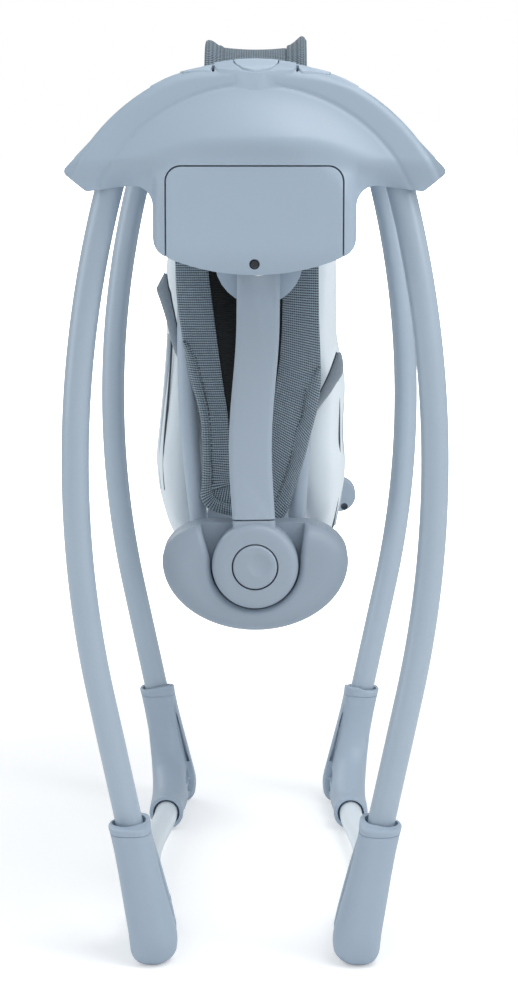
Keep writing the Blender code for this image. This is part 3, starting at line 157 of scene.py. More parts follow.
def mix_colours(tree, share, first, second):
    """A mix of two colours, each a colour or another node's output."""
    mix = add_node(tree, "Mix", {"data_type": "RGBA"})
    tree.links.new(share, mix.inputs[0])
    for socket, colour in ((mix.inputs[6], first), (mix.inputs[7], second)):
        if isinstance(colour, tuple):
            socket.default_value = (*colour, 1)
        else:
            tree.links.new(colour, socket)
    return mix.outputs[2]


def add_ramp(tree, value, low, high):
    """A ramp from black to white between two levels of a value."""
    ramp = add_node(tree, "ValToRGB")
    tree.links.new(value, ramp.inputs[0])
    ramp.color_ramp.elements[0].position = low
    ramp.color_ramp.elements[1].position = high
    return ramp.outputs[0]


def pattern(tree, place, kind, settings=None, **values):
    """A texture node laid out by a place."""
    made = add_node(tree, kind, settings, **values)
    tree.links.new(place, made.inputs["Vector"])
    return made


def toned(colour, factor, lift=0.0):
    """A colour made darker or paler."""
    return tuple(min(c * factor + lift, 1) for c in colour)


def add_bump(tree, shader, height, strength, distance):
    """A bump of a height, joined to the shader's normal."""
    bump = add_node(tree, "Bump", Strength=strength, Distance=distance)
    tree.links.new(height, bump.inputs["Height"])
    tree.links.new(bump.outputs[0], shader.inputs["Normal"])


def moulded_plastic(name, colour, roughness=0.42, grain=0.35, lighter=1.16):
    """Moulded plastic: a fine spark texture, slight clouding, and edges that handling has worn paler."""
    made, tree, shader = new_material(name, colour, roughness, Coat_Weight=0.06, Coat_Roughness=0.25)
    place = add_node(tree, "TexCoord").outputs["Object"]
    cloud = pattern(tree, place, "TexNoise", Scale=9, Detail=3)
    fine = pattern(tree, place, "TexNoise", Scale=1500, Detail=2)
    scuff = pattern(tree, place, "TexNoise", Scale=130, Detail=4, Roughness=0.7)
    body = mix_colours(tree, cloud.outputs[0], toned(colour, 0.95), toned(colour, 1.05))
    edge = add_node(tree, "NewGeometry").outputs["Pointiness"]
    worn = add_ramp(tree, edge, 0.515, 0.60)
    broken = add_node(tree, "Math", {"operation": "MULTIPLY"})
    tree.links.new(worn, broken.inputs[0])
    tree.links.new(add_ramp(tree, scuff.outputs[0], 0.35, 0.75), broken.inputs[1])
    worn_colour = toned(colour, lighter, 0.02)
    tree.links.new(mix_colours(tree, broken.outputs[0], body, worn_colour), shader.inputs["Base Color"])
    spread = add_node(tree, "MapRange", To_Min=roughness - 0.05, To_Max=roughness + 0.07)
    tree.links.new(scuff.outputs[0], spread.inputs[0])
    tree.links.new(spread.outputs[0], shader.inputs["Roughness"])
    add_bump(tree, shader, fine.outputs[0], grain, 0.00006)
    return made


shell_plastic = moulded_plastic("shell_plastic", (0.385, 0.475, 0.570))


def select_only(piece):
    bpy.ops.object.select_all(action="DESELECT")
    piece.select_set(True)
    bpy.context.view_layer.objects.active = piece


def edit(piece):
    """Only this piece selected and open in edit mode, with nothing in it selected."""
    select_only(piece)
    bpy.ops.object.mode_set(mode="EDIT")
    bpy.ops.mesh.select_all(action="DESELECT")


def leave_edit():
    bpy.ops.object.mode_set(mode="OBJECT")


def extrude(offset):
    bpy.ops.mesh.extrude_region_move(TRANSFORM_OT_translate={"value": offset})


def face_outwards(piece):
    """All the faces of a closed piece turned outwards."""
    edit(piece)
    bpy.ops.mesh.select_all(action="SELECT")
    bpy.ops.mesh.normals_make_consistent(inside=False)
    leave_edit()


def finish_mesh(piece, look=None, angle=35):
    """Doubles merged, normals outward, smooth shading up to an angle, and a material."""
    edit(piece)
    bpy.ops.mesh.select_all(action="SELECT")
    bpy.ops.mesh.remove_doubles(threshold=0.000004)
    bpy.ops.mesh.normals_make_consistent(inside=False)
    leave_edit()
    bpy.ops.object.shade_smooth_by_angle(angle=math.radians(angle))
    if look is not None:
        piece.data.materials.clear()
        piece.data.materials.append(look)
    return piece


def fit(piece, body, node=None):
    """The piece rides a body, and stands in for a node."""
    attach(piece, body)
    if node:
        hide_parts(node)


def plate(name, outline, side, first_depth, last_depth):
    """A flat plate of an (x, z) outline, extruded between two depths on one side of the swing."""
    bpy.ops.object.select_all(action="DESELECT")
    bpy.ops.mesh.primitive_circle_add(vertices=len(outline), fill_type="NGON")
    piece = bpy.context.object
    piece.name = name
    for vertex, (x, z) in zip(piece.data.vertices, outline):
        vertex.co = (x, side * first_depth, z)
    edit(piece)
    bpy.ops.mesh.select_all(action="SELECT")
    extrude((0, side * (last_depth - first_depth), 0))
    leave_edit()
    face_outwards(piece)
    return piece


def round_bar(name, place, side, first_depth, last_depth, radius, sides=48):
    """A round bar across the swing, from a cylinder."""
    middle, length = (first_depth + last_depth) / 2, abs(last_depth - first_depth)
    bpy.ops.object.select_all(action="DESELECT")
    bpy.ops.mesh.primitive_cylinder_add(vertices=sides, radius=radius, depth=length,
                                        location=(place[0], side * middle, place[1]),
                                        rotation=(math.pi / 2, 0, 0))
    bpy.context.object.name = name
    bpy.ops.object.transform_apply(location=True, rotation=True, scale=True)
    return bpy.context.object


def block(place, size, turn=0):
    """A rectangular block about a place, turned by degrees about the Y axis."""
    bpy.ops.object.select_all(action="DESELECT")
    bpy.ops.mesh.primitive_cube_add(size=1, location=place, scale=size, rotation=(0, math.radians(turn), 0))
    bpy.ops.object.transform_apply(location=True, rotation=True, scale=True)
    return bpy.context.object


def relief_block(side, face_at, width, height, middle_z, columns, rows, back):
    """A block whose outer face stands out by face_at(x, z), from a fine grid, with a flat back."""
    bpy.ops.object.select_all(action="DESELECT")
    bpy.ops.mesh.primitive_grid_add(x_subdivisions=columns, y_subdivisions=rows, size=1)
    piece = bpy.context.object
    for vertex in piece.data.vertices:
        x, z = vertex.co.x * width, middle_z + vertex.co.y * height
        vertex.co = (x, side * face_at(x, z), z)
    edit(piece)
    bpy.ops.mesh.select_all(action="SELECT")
    extrude((0, -side, 0))
    leave_edit()
    for vertex in piece.data.vertices:
        if vertex.co.y * side < 0:
            vertex.co.y = side * back
    face_outwards(piece)
    return piece


def add_modifier(piece, kind, **settings):
    """A modifier, set and applied."""
    select_only(piece)
    step = piece.modifiers.new(kind.title(), kind)
    for key, value in settings.items():
        setattr(step, key, value)
    bpy.ops.object.modifier_apply(modifier=step.name)


def carve(piece, *tools, operation="DIFFERENCE"):
    """Each tool cut from the piece, joined to it or kept in common with it, and then thrown away."""
    for tool in tools:
        add_modifier(piece, "BOOLEAN", operation=operation, solver="MANIFOLD", object=tool)
        bpy.data.objects.remove(tool)


def round_edges(piece, width, segments=3, angle=40):
    add_modifier(piece, "BEVEL", width=width, segments=segments, limit_method="ANGLE",
                 angle_limit=math.radians(angle), harden_normals=False)


def arc_points(x, z, radius, first, last, steps):
    """Points of an arc between two angles in degrees, from +X towards +Z."""
    turn = [math.radians(first + (last - first) * i / steps) for i in range(steps + 1)]
    return [(x + radius * math.cos(a), z + radius * math.sin(a)) for a in turn]


def rounded(corners, steps=6):
    """An outline through (x, z, radius) corners."""
    outline = []
    for i, (x, z, radius) in enumerate(corners):
        here = Vector((x, z))
        if not radius:
            outline.append((x, z))
            continue
        back = (Vector(corners[i - 1][:2]) - here).normalized()
        ahead = (Vector(corners[(i + 1) % len(corners)][:2]) - here).normalized()
        half = back.angle(ahead) / 2
        centre = here + (back + ahead).normalized() * radius / math.sin(half)
        start, end = (here + way * radius / math.tan(half) - centre for way in (back, ahead))
        first = math.atan2(start.y, start.x)
        turn = math.remainder(math.atan2(end.y, end.x) - first, math.tau)
        outline += [(centre.x + radius * math.cos(first + turn * k / steps),
                     centre.y + radius * math.sin(first + turn * k / steps)) for k in range(steps + 1)]
    return outline


def mirror_outline(half):
    return half + [(-x, *rest) for x, *rest in reversed(half[1:-1])]


def smooth_step(value, low, high):
    share = min(max((value - low) / (high - low), 0), 1)
    return share * share * (3 - 2 * share)


def housing_rim(grow=0.0):
    """The housing's outline, or that outline grown all round: crest, wing tip, underside, side and bottom."""
    low_radius, half_x = 0.150 + grow, body_half_x + grow
    console = math.degrees(math.acos(0.0705 / 0.1415))
    last = math.degrees(math.acos(0.112 / 0.1415))
    crest = [(x, z - 0.0021 * (1 - smooth_step(abs(x), 0.030, 0.062)), 0)
             for x, z in arc_points(0, crest_z, 0.1418 + grow, 90, console, 30)]
    crest += [(x, z, 0) for x, z in arc_points(0, crest_z, crest_radius + grow, console - 0.3, last, 14)]
    first = -math.degrees(math.acos(half_x / low_radius))
    under = [(0.1322 + grow, 0.5645, 0.004), (0.1155 + grow, 0.551 - grow, 0.004),
             (half_x, 0.557 - grow, 0.0135)]
    bottom = [(x, z, 0) for x, z in arc_points(0, 0.645, low_radius, first, -90, 14)]
    bottom = [(*bottom[0][:2], 0.013)] + bottom[3:]
    return rounded(mirror_outline(crest + under + bottom), 6)


def roll(reach, width, depth):
    """How far a surface drops as it rolls over an edge that is a reach away."""
    share = min(max(1 - reach / width, 0), 1)
    return depth * (1 - math.sqrt(1 - 0.88 * share * share)) / 0.654


def eased(value, width):
    """Zero below nought and the value itself above it, with an eased bend between them."""
    return (value + math.hypot(value, width)) / 2


def housing_depth(x, z):
    """How far the outer face stands from the middle: a plain rim, a dome under the crest, a flatter body."""
    from_crease = 0.1170 - math.hypot(x, z - 0.5063)
    share = min(eased(from_crease, 0.0010) / 0.044, 1)
    dome = 0.0212 * (0.35 * math.sin(math.pi / 2 * share) + 0.65 * (0.5 - 0.5 * math.cos(math.pi * share)))
    dome -= 0.0007 * math.exp(-(from_crease / 0.0013) ** 2)
    crest_roll = roll(0.1400 - math.hypot(x, z - crest_z), 0.0045, 0.0024)
    console = 0.70 * eased(math.hypot(x + 0.0046, z - 0.3460) - 0.2846, 0.0012)
    sill = 0.5705 - 0.0150 * smooth_step(abs(x), 0.035, 0.096)
    in_body = 1 - smooth_step(abs(x), 0.082, 0.114)
    tuck = 0.0068 * (1 - smooth_step(z, sill, sill + 0.0190)) * in_body
    belly = roll(z - 0.495, 0.020, 0.0090)
    on_flank = 1 - smooth_step(z, 0.552, 0.574)
    flank = roll(body_half_x - abs(x), 0.0120, 0.0080) * on_flank
    under_wing = smooth_step(abs(x), 0.066, 0.084)
    under = roll(z - 0.553, 0.018, 0.0085) * under_wing * smooth_step(from_crease, 0, 0.016)
    return 0.2440 + dome - crest_roll - console - tuck - belly * (1 - under_wing) - flank - under


def housing_form(side, grow=0.0, name="form"):
    """The housing's whole outer form, or that form grown by a little."""
    form = plate(name, housing_rim(grow), side, 0.192, past_face)
    outer = relief_block(side, lambda x, z: housing_depth(x, z) + grow, 0.274, 0.161, 0.5675, 250, 146, 0.190)
    carve(form, outer, operation="INTERSECT")
    return form


def sunk(core, side, depth):
    """A copy of a housing's form, moved inwards by a depth."""
    below = core.copy()
    below.data = core.data.copy()
    bpy.context.collection.objects.link(below)
    for vertex in below.data.vertices:
        vertex.co.y -= side * depth
    return below


screw_z = 0.5027


def door_outline(gap=0.0):
    half, top = 0.0598 + gap, 0.5686 + gap
    corner, foot = 0.010 + gap, 0.480
    return rounded([(half, top, corner), (-half, top, corner), (-half, foot, 0), (half, foot, 0)], 12)


console_plan = rounded([(-0.0272, -0.2225, 0), (0.0282, -0.2225, 0), (0.0282, -0.2424, 0.004),
                        (0.0005, -0.2453, 0.040), (-0.0272, -0.2424, 0.004)], 8)
button_plans = {
    "centre": rounded([(-0.0138, -0.2230, 0.002), (0.0158, -0.2230, 0.002), (0.0158, -0.2392, 0.005),
                       (0.0102, -0.2427, 0.006), (0.0010, -0.2440, 0.012), (-0.0082, -0.2427, 0.006),
                       (-0.0138, -0.2392, 0.005)], 6),
    "left": rounded([(-0.0286, -0.2235, 0.001), (-0.0500, -0.2235, 0.003), (-0.0512, -0.2380, 0.004),
                     (-0.0290, -0.2418, 0.003)], 8),
    "right": rounded([(0.0296, -0.2235, 0.001), (0.0300, -0.2418, 0.003), (0.0522, -0.2380, 0.004),
                      (0.0510, -0.2235, 0.003)], 8),
}


def upright(name, outline, bottom, top):
    """A plate of an (x, y) outline between two heights."""
    piece = plate(name, outline, 1, 0, 1)
    for vertex in piece.data.vertices:
        x, level, y = vertex.co
        vertex.co = (x, y, top if level > 0.5 else bottom)
    face_outwards(piece)
    return piece


def grown(outline, distance):
    """An outline moved outwards."""
    points = [Vector(p) for p in outline]
    area = sum(a.x * b.y - b.x * a.y for a, b in zip(points, points[1:] + points[:1]))
    moved = []
    for i, here in enumerate(points):
        way = points[(i + 1) % len(points)] - points[i - 1]
        outwards = Vector((way.y, -way.x)).normalized()
        moved.append(tuple(here + outwards * math.copysign(distance, distance * area)))
    return moved


for where, side in side_of.items():
    shell = housing_form(side, name=f"{where}_housing_shell_skin")
    core = sunk(shell, side, 0)
    if where == "near":
        recess = plate("recess", door_outline(0.0011), side, 0.200, past_face)
        carve(recess, sunk(core, side, 0.0048))
        console = housing_form(side, 0.0017, "console")
        carve(console, upright("cut", console_plan, 0.620, 0.670), operation="INTERSECT")
        carve(shell, console, operation="UNION")
        carve(shell, recess)
        for plan in button_plans.values():
            carve(shell, upright("button_room", grown(plan, 0.0009), 0.612, 0.660))
        for low_x, high_x in ((-0.0290, -0.0272), (0.0282, 0.0298)):
            slot_plan = [(low_x, -0.2225), (high_x, -0.2225), (high_x, -0.2422), (low_x, -0.2422)]
            carve(shell, upright("console_gap", slot_plan, 0.6322, 0.660))
    room = plate("room", housing_rim(-0.003), side, 0.180, past_face)
    carve(room, sunk(core, side, 0.0065), operation="INTERSECT")
    carve(shell, plate("room", housing_rim(-0.003), side, 0.180, 0.200), room)
    if where == "near":
        pocket = [(-0.0545, 0.5085), (0.0545, 0.5085), (0.0545, 0.5635), (-0.0545, 0.5635)]
        carve(shell, plate("pocket", pocket, side, 0.2262, 0.2575))
    for hand in (-1, 1):
        slot_corners = [(0.0815, 0.535), (0.0815, 0.571), (0.1055, 0.5805), (0.142, 0.552), (0.142, 0.535)]
        carve(shell, plate("slot", [(hand * x, z) for x, z in slot_corners], side, 0.2095, 0.2305))
    arm_room = [(-0.0166, 0.480), (0.0216, 0.480), (0.0216, 0.511), (-0.0166, 0.511)]
    carve(shell, plate("arm_room", arm_room, side, 0.180, 0.218))
    finish_mesh(shell, shell_plastic)
    fit(shell, "housings", f"{where}_housing_shell")
    if where == "far":
        bpy.data.objects.remove(core)
        continue
    door = core
    door.name = "battery_door_skin"
    behind = sunk(core, side, 0.0028)
    carve(door, plate("cut", door_outline(), side, 0.200, past_face), operation="INTERSECT")
    carve(door, behind, round_bar("cut", (0, screw_z), side, 0.2400, past_face, 0.0036, 32))
    finish_mesh(door, shell_plastic)
    fit(door, "housings", "battery_door")

# Housing covers, crest buttons and leg locks
# The covers are the flat inner halves of the housings, with a round boss where each swing arm hangs.
# The crest carries a shield-shaped power pad between two leaf-shaped pads, cut to the crest's own curve.
button_plastic = moulded_plastic("button_plastic", (0.43, 0.525, 0.62), 0.36, 0.2)


def detailed_copy(node, body, look, rounding):
    """A piece shaped from its own node, its doubles merged and its edges rounded."""
    piece = nodes[node].copy()
    piece.data = nodes[node].data.copy()
    piece.name = node + "_skin"
    piece.parent = None
    for key in list(piece.keys()):
        del piece[key]
    bpy.context.collection.objects.link(piece)
    edit(piece)
    bpy.ops.mesh.select_all(action="SELECT")
    bpy.ops.mesh.remove_doubles(threshold=0.00001)
    bpy.ops.mesh.tris_convert_to_quads(face_threshold=math.radians(1), shape_threshold=math.radians(180))
    bpy.ops.mesh.dissolve_limited(angle_limit=math.radians(1.5))
    leave_edit()
    round_edges(piece, rounding, 2, 30)
    bpy.ops.object.shade_smooth_by_angle(angle=math.radians(35))
    piece.data.materials.clear()
    piece.data.materials.append(look)
    fit(piece, body, node)


for where, side in side_of.items():
    detailed_copy(f"{where}_housing_cover", "housings", shell_plastic, 0.0008)
    detailed_copy(f"leg_lock_{where}", f"leg_lock_{where}", button_plastic, 0.0004)

for hand, plan in button_plans.items():
    pad = housing_form(-1, 0.0019 if hand == "centre" else 0.0007, f"control_button_{hand}_skin")
    carve(pad, upright("cut", plan, 0.6265 if hand == "centre" else 0.6180, 0.670), operation="INTERSECT")
    round_edges(pad, 0.0005, 2, 40)
    finish_mesh(pad, button_plastic)
    stem_x = {"centre": 0.0015, "left": -0.038, "right": 0.038}[hand]
    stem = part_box(f"control_button_{hand}")[0].z
    stem_top = 0.627
    post = block((stem_x, -0.232, (stem + stem_top) / 2), (0.004, 0.004, stem_top - stem))
    carve(pad, post, operation="UNION")
    fit(pad, f"control_button_{hand}", f"control_button_{hand}")

# Battery compartment, control board and drive
# Four C cells lie in two rows behind the door, between spring contact strips. A small motor turns a nylon
# pinion that rocks the toothed sector on the near axle. A steel screw holds the door.


def metal(name, colour, roughness):
    """Plated steel with fine drawing lines and a little cloudiness."""
    made, tree, shader = new_material(name, colour, roughness, 1.0)
    place = add_node(tree, "TexCoord").outputs["Object"]
    stretch = pattern(tree, place, "Mapping", Scale=(900, 60, 900))
    lines = pattern(tree, stretch.outputs[0], "TexNoise", Scale=1, Detail=3)
    drawn = mix_colours(tree, lines.outputs[0], toned(colour, 0.8), colour)
    tree.links.new(drawn, shader.inputs["Base Color"])
    add_bump(tree, shader, lines.outputs[0], 0.2, 0.00003)
    return made


def banded(name, colour, other, axis, width, roughness, levels=(0.48, 0.52)):
    """A printed or moulded material whose second colour comes in bands along an axis."""
    made, tree, shader = new_material(name, colour, roughness)
    place = add_node(tree, "TexCoord").outputs["Object"]
    bands = pattern(tree, place, "TexWave", {"bands_direction": axis}, Scale=0.314 / width, Distortion=0.4)
    share = add_ramp(tree, bands.outputs["Fac"], *levels)
    tree.links.new(mix_colours(tree, share, colour, other), shader.inputs["Base Color"])
    return made


bright_steel = metal("bright_steel", (0.66, 0.67, 0.69), 0.28)
dark_steel = metal("blackened_steel", (0.10, 0.11, 0.12), 0.38)
gear_nylon = moulded_plastic("gear_nylon", (0.80, 0.80, 0.77), 0.40, 0.2, 1.05)
cell_sleeve = banded("cell_sleeve", (0.045, 0.055, 0.075), (0.55, 0.43, 0.20), "X", 0.082, 0.32, (0.90, 0.93))
board_look = banded("board_laminate", (0.03, 0.20, 0.10), (0.10, 0.34, 0.20), "X", 0.0042, 0.45)

look_of = {"circuit_board": board_look}
look_of.update((f"battery_{cell}", cell_sleeve) for cell in (1, 2, 3, 4))
look_of.update((node, bright_steel) for node in ("contact_left", "contact_right", "drive_motor"))
for where in side_of:
    look_of.update((node, bright_steel) for node in (f"swing_axle_{where}", f"{where}_leg_pin_left",
                                                     f"{where}_leg_pin_right"))
for node, look in look_of.items():
    nodes[node].data.materials.clear()
    nodes[node].data.materials.append(look)
detailed_copy("drive_sector", "swing", gear_nylon, 0.0002)
detailed_copy("drive_pinion", "pinion", gear_nylon, 0.00015)

screw = round_bar("door_screw_skin", (0, screw_z), -1, 0.2525, 0.2545, 0.0030)
round_edges(screw, 0.0006, 3, 40)
for turn in (20, 110):
    carve(screw, block((0, -0.2545, screw_z), (0.0042, 0.0022, 0.00085), turn))
carve(screw, round_bar("shank", (0, screw_z), -1, 0.244, 0.253, 0.0014, 24), operation="UNION")
finish_mesh(screw, dark_steel)
fit(screw, "housings", "door_screw")

# Legs, floor tubes and feet
# Two bowed steel tubes a side, painted to match the housings, fold on pins under the wings. Their lower
# ends sit in moulded elbow boots, and a silver-painted tube along the floor joins the boots of each side.


def painted_tube(name, colour, roughness, metallic, flake):
    """Powder paint on steel tube: a soft orange-peel surface with fine metal flake."""
    made, tree, shader = new_material(name, colour, roughness, metallic, Coat_Weight=0.25, Coat_Roughness=0.2)
    place = add_node(tree, "TexCoord").outputs["Object"]
    peel = pattern(tree, place, "TexNoise", Scale=420, Detail=2)
    specks = pattern(tree, place, "TexNoise", Scale=2600, Detail=1)
    drift = pattern(tree, place, "TexNoise", Scale=14, Detail=2)
    base = mix_colours(tree, drift.outputs[0], toned(colour, 0.96), toned(colour, 1.04))
    flakes = add_ramp(tree, specks.outputs[0], 0.60, 0.72)
    tree.links.new(mix_colours(tree, flakes, base, toned(colour, flake)), shader.inputs["Base Color"])
    add_bump(tree, shader, peel.outputs[0], 0.12, 0.00005)
    return made


leg_paint = painted_tube("leg_paint", (0.415, 0.500, 0.588), 0.36, 0.10, 1.12)
cross_tube_paint = painted_tube("cross_tube_paint", (0.85, 0.93, 1.0), 0.28, 0.06, 1.0)
foot_plastic = moulded_plastic("foot_plastic", (0.375, 0.46, 0.555), 0.46)
hand_of = {"left": -1, "right": 1}
leg_depth, boot_depth = 0.220, 0.223
tube_x, tube_z = 0.078, 0.0152  # the floor tubes' centre lines


def along(name, points, radius, look, sides=36):
    """A round bar along a line of points, from a curve with a round bevel."""
    line = bpy.data.curves.new(name, "CURVE")
    line.dimensions = "3D"
    line.bevel_depth = radius
    line.bevel_resolution = max(sides // 4 - 1, 1)
    line.use_fill_caps = True
    run = line.splines.new("POLY")
    run.points.add(len(points) - 1)
    for spot, place in zip(run.points, points):
        spot.co = (*place, 1)
    piece = bpy.data.objects.new(name, line)
    bpy.context.collection.objects.link(piece)
    select_only(piece)
    bpy.ops.object.convert(target="MESH")
    return finish_mesh(bpy.context.object, look, 50)


def leg_x(z):
    """A leg's centre line: an arc from the housing down, then straight into the foot."""
    radius, widest_z, straight_z = 0.780, 0.355, 0.195
    drop = 0.160  # from the widest height to the straight part

    def on_arc(height):
        return 0.126 - radius + math.sqrt(radius ** 2 - (height - widest_z) ** 2)
    if z >= straight_z:
        return on_arc(z)
    return on_arc(straight_z) - drop / math.sqrt(radius ** 2 - drop ** 2) * (straight_z - z)


def grow(name, rings):
    """A closed form grown ring by ring: a circle laid on the first ring, extruded to each of the others."""
    bpy.ops.object.select_all(action="DESELECT")
    bpy.ops.mesh.primitive_circle_add(vertices=len(rings[0]), fill_type="NGON")
    piece = bpy.context.object
    piece.name = name
    last = [Vector(point) for point in rings[0]]
    for vertex, point in zip(piece.data.vertices, last):
        vertex.co = point
    edit(piece)
    bpy.ops.mesh.select_all(action="SELECT")
    for ring in rings[1:]:
        extrude((0, 0, 0))
        shape = bmesh.from_edit_mesh(piece.data)
        moving = [vertex for vertex in shape.verts if vertex.select]
        order = [min(range(len(last)), key=lambda i: (last[i] - vertex.co).length_squared)
                 for vertex in moving]
        for vertex, i in zip(moving, order):
            vertex.co = ring[i]
        last = [Vector(point) for point in ring]
    leave_edit()
    face_outwards(piece)
    return piece


def oval(half_a, half_b, squareness, count=40):
    """Points round an oval, whose corners fill out above a squareness of 2."""
    points = []
    for i in range(count):
        a = math.tau * (i + 0.5) / count
        reach = (abs(math.cos(a)) ** squareness + abs(math.sin(a)) ** squareness) ** (-1 / squareness)
        points.append((half_a * reach * math.cos(a), half_b * reach * math.sin(a)))
    return points


# height, half width along X, half width along Y
boot_sizes = [(0.0000, 0.0072, 0.0072), (0.0006, 0.0096, 0.0098), (0.0020, 0.0122, 0.0122),
              (0.0042, 0.0143, 0.0145), (0.0072, 0.0159, 0.0165), (0.0112, 0.0170, 0.0183),
              (0.0165, 0.0174, 0.0198), (0.0240, 0.0174, 0.0208), (0.0370, 0.0168, 0.0208),
              (0.0520, 0.0160, 0.0203), (0.0670, 0.0152, 0.0196), (0.0830, 0.0147, 0.0188),
              (0.0962, 0.0146, 0.0185), (0.1000, 0.0149, 0.0188), (0.1013, 0.0148, 0.0187),
              (0.1020, 0.0142, 0.0181)]
# depth, distance from the floor tube, centre height, half width, half height, squareness
elbow_sizes = [(0.2240, 0.0040, 0.0400, 0.0125, 0.0380, 2.3), (0.2060, 0.0044, 0.0425, 0.0138, 0.0415, 2.3),
               (0.2040, 0.0042, 0.0374, 0.0142, 0.0366, 2.3), (0.2015, 0.0038, 0.0320, 0.0145, 0.0313, 2.4),
               (0.1980, 0.0034, 0.0277, 0.0147, 0.0270, 2.4), (0.1930, 0.0030, 0.0243, 0.0149, 0.0236, 2.4),
               (0.1860, 0.0025, 0.0215, 0.0150, 0.0209, 2.4), (0.1760, 0.0018, 0.0191, 0.0150, 0.0186, 2.4),
               (0.1660, 0.0012, 0.0173, 0.0148, 0.0169, 2.3),
               (0.1560, 0.0005, 0.0160, 0.0145, 0.0155, 2.1), (0.1460, 0, 0.0152, 0.0144, 0.0144, 2),
               (0.1262, 0, 0.0152, 0.0144, 0.0144, 2), (0.1250, 0, 0.0152, 0.0136, 0.0136, 2)]


def boot_ring(hand, side, z, half_x, half_y):
    """One section of a boot: drawn in at the inner back for the flange, its rim turned up inwards."""
    ring = []
    for a, b in oval(half_x, half_y, 2.7, 48):
        inwards = max(-hand * a / half_x, 0)
        front = side * b / half_y
        back = 0.0060 * inwards ** 2 * (1 - smooth_step(z, 0.020, 0.066)) * (0.5 + 0.5 * front)
        pull = 0.0038 * inwards ** 2 * smooth_step(-front, 0.0, 0.35) * (1 - smooth_step(z, 0.050, 0.094))
        lift = 0.0042 * smooth_step(-hand * a / half_x - front, 0.5, 1.3) * smooth_step(z, 0.0955, 0.101)
        near_base = smooth_step(z, 0, 0.006) * (1 - smooth_step(z, 0.010, 0.036))
        lift += 0.0045 * inwards ** 2 * max(front, 0) * near_base
        x = hand * leg_x(max(z, 0.020)) + a + hand * pull
        ring.append((x, side * boot_depth + b - side * back, z + lift))
    return ring


for which, hand in hand_of.items():
    body = f"{which}_legs"
    tube_line = [(hand * (tube_x + 0.0085 * (1 - min(abs(y) / 0.125, 1) ** 2) ** 2), y, tube_z)
                 for y in [-0.161 + 0.322 * i / 60 for i in range(61)]]
    floor_tube = along(f"{which}_cross_tube_skin", tube_line, 0.00945, cross_tube_paint, 44)
    fit(floor_tube, body, f"{which}_cross_tube")
    for where, side in side_of.items():
        line = [(hand * leg_x(z), side * leg_depth, z) for z in [0.5805 - 0.5585 * i / 80 for i in range(81)]]
        leg = along(f"{which}_leg_{where}_skin", line, 0.0098, leg_paint, 44)
        carve(leg, round_bar("pin_hole", (hand * leg_x(0.571), 0.571), side, 0.200, 0.240, 0.0044, 24))
        finish_mesh(leg, leg_paint, 50)
        fit(leg, body, f"{which}_leg_{where}")
        boot = grow(f"{which}_foot_{where}_skin", [boot_ring(hand, side, *size) for size in boot_sizes])
        rings = []
        for depth, near_x, height, half_x, half_z, square in elbow_sizes:
            lean = 0.215 * smooth_step(depth, 0.155, 0.200)
            rings.append([(hand * (tube_x - near_x + lean * max(height + b - tube_z, 0)) + a, side * depth,
                           height + b) for a, b in oval(half_x, half_z, square)])
        carve(boot, grow("elbow", rings), operation="UNION")
        add_modifier(boot, "REMESH", mode="VOXEL", voxel_size=0.0011)
        blend = boot.vertex_groups.new(name="blend")
        soft = [vertex.index for vertex in boot.data.vertices
                if 0.010 < vertex.co.z < 0.088 and abs(vertex.co.y) > 0.152]
        blend.add(soft, 1, "REPLACE")
        add_modifier(boot, "SMOOTH", factor=0.5, iterations=40, vertex_group="blend")
        boot.vertex_groups.clear()
        groove = grow("groove", [boot_ring(hand, side, *size) for size in (
            (0.0966, 0.0160, 0.0200), (0.0973, 0.0160, 0.0200))])
        carve(groove, grow("kept", [boot_ring(hand, side, *size) for size in (
            (0.0950, 0.0142, 0.0181), (0.0990, 0.0142, 0.0181))]))
        carve(boot, groove)
        reach = [(0.092, 0.0136), (0.082, 0.0147), (0.067, 0.0158), (0.052, 0.0166), (0.038, 0.0172),
                 (0.026, 0.0172), (0.015, 0.0160), (0.008, 0.0130)]
        web_line = [(hand * (leg_x(max(z, 0.020)) - far_x), z) for z, far_x in reach]
        web = plate("web", [(hand * 0.080, 0.092)] + web_line + [(hand * 0.080, 0.008)], side, 0.2120, 0.2180)
        round_edges(web, 0.0010, 2, 30)
        slit = [(hand * (leg_x(z) - far_x + 0.0016), z) for z, far_x in reach[1:5]]
        slit += [(hand * (leg_x(z) - 0.0125), z) for z, far_x in reversed(reach[1:5])]
        carve(web, plate("slit", slit, side, 0.200, 0.230))
        carve(boot, web, operation="UNION")
        hole = along("hole", [(hand * leg_x(z), side * leg_depth, z) for z in (0.0215, 0.115)],
                     0.0101, None, 40)
        flare = along("flare", [(hand * leg_x(z), side * leg_depth, z) for z in (0.099, 0.115)],
                      0.0122, None, 48)
        mouth = round_bar("mouth", (hand * tube_x, tube_z), side, 0.115, 0.1613, 0.00975, 44)
        mouth_flare = round_bar("mouth_flare", (hand * tube_x, tube_z), side, 0.115, 0.1330, 0.0112, 44)
        carve(boot, hole, flare, mouth, mouth_flare)
        for low, high in ((0.012, 0.0225), (0.0245, 0.033)):
            corners = [(hand * 0.0640, low, 0.0015), (hand * 0.0640, high, 0.0015),
                       (hand * 0.0500, high, 0.0015), (hand * 0.0500, low, 0.0015)]
            carve(boot, plate("pocket", rounded(corners, 4), side, 0.180, 0.2115))
        finish_mesh(boot, foot_plastic, 38)
        fit(boot, body, f"{which}_foot_{where}")

# Swing arms and hubs
# A long blade of moulded plastic hangs from each housing, bowed slightly above its foot, where a tongue
# plugs it into the round hub. The button in the hub's middle releases the seat's recline.
arm_plastic = moulded_plastic("arm_plastic", (0.372, 0.446, 0.528), 0.40)
hub_z = 0.286
hub_plastic = moulded_plastic("hub_plastic", (0.345, 0.412, 0.490), 0.40)


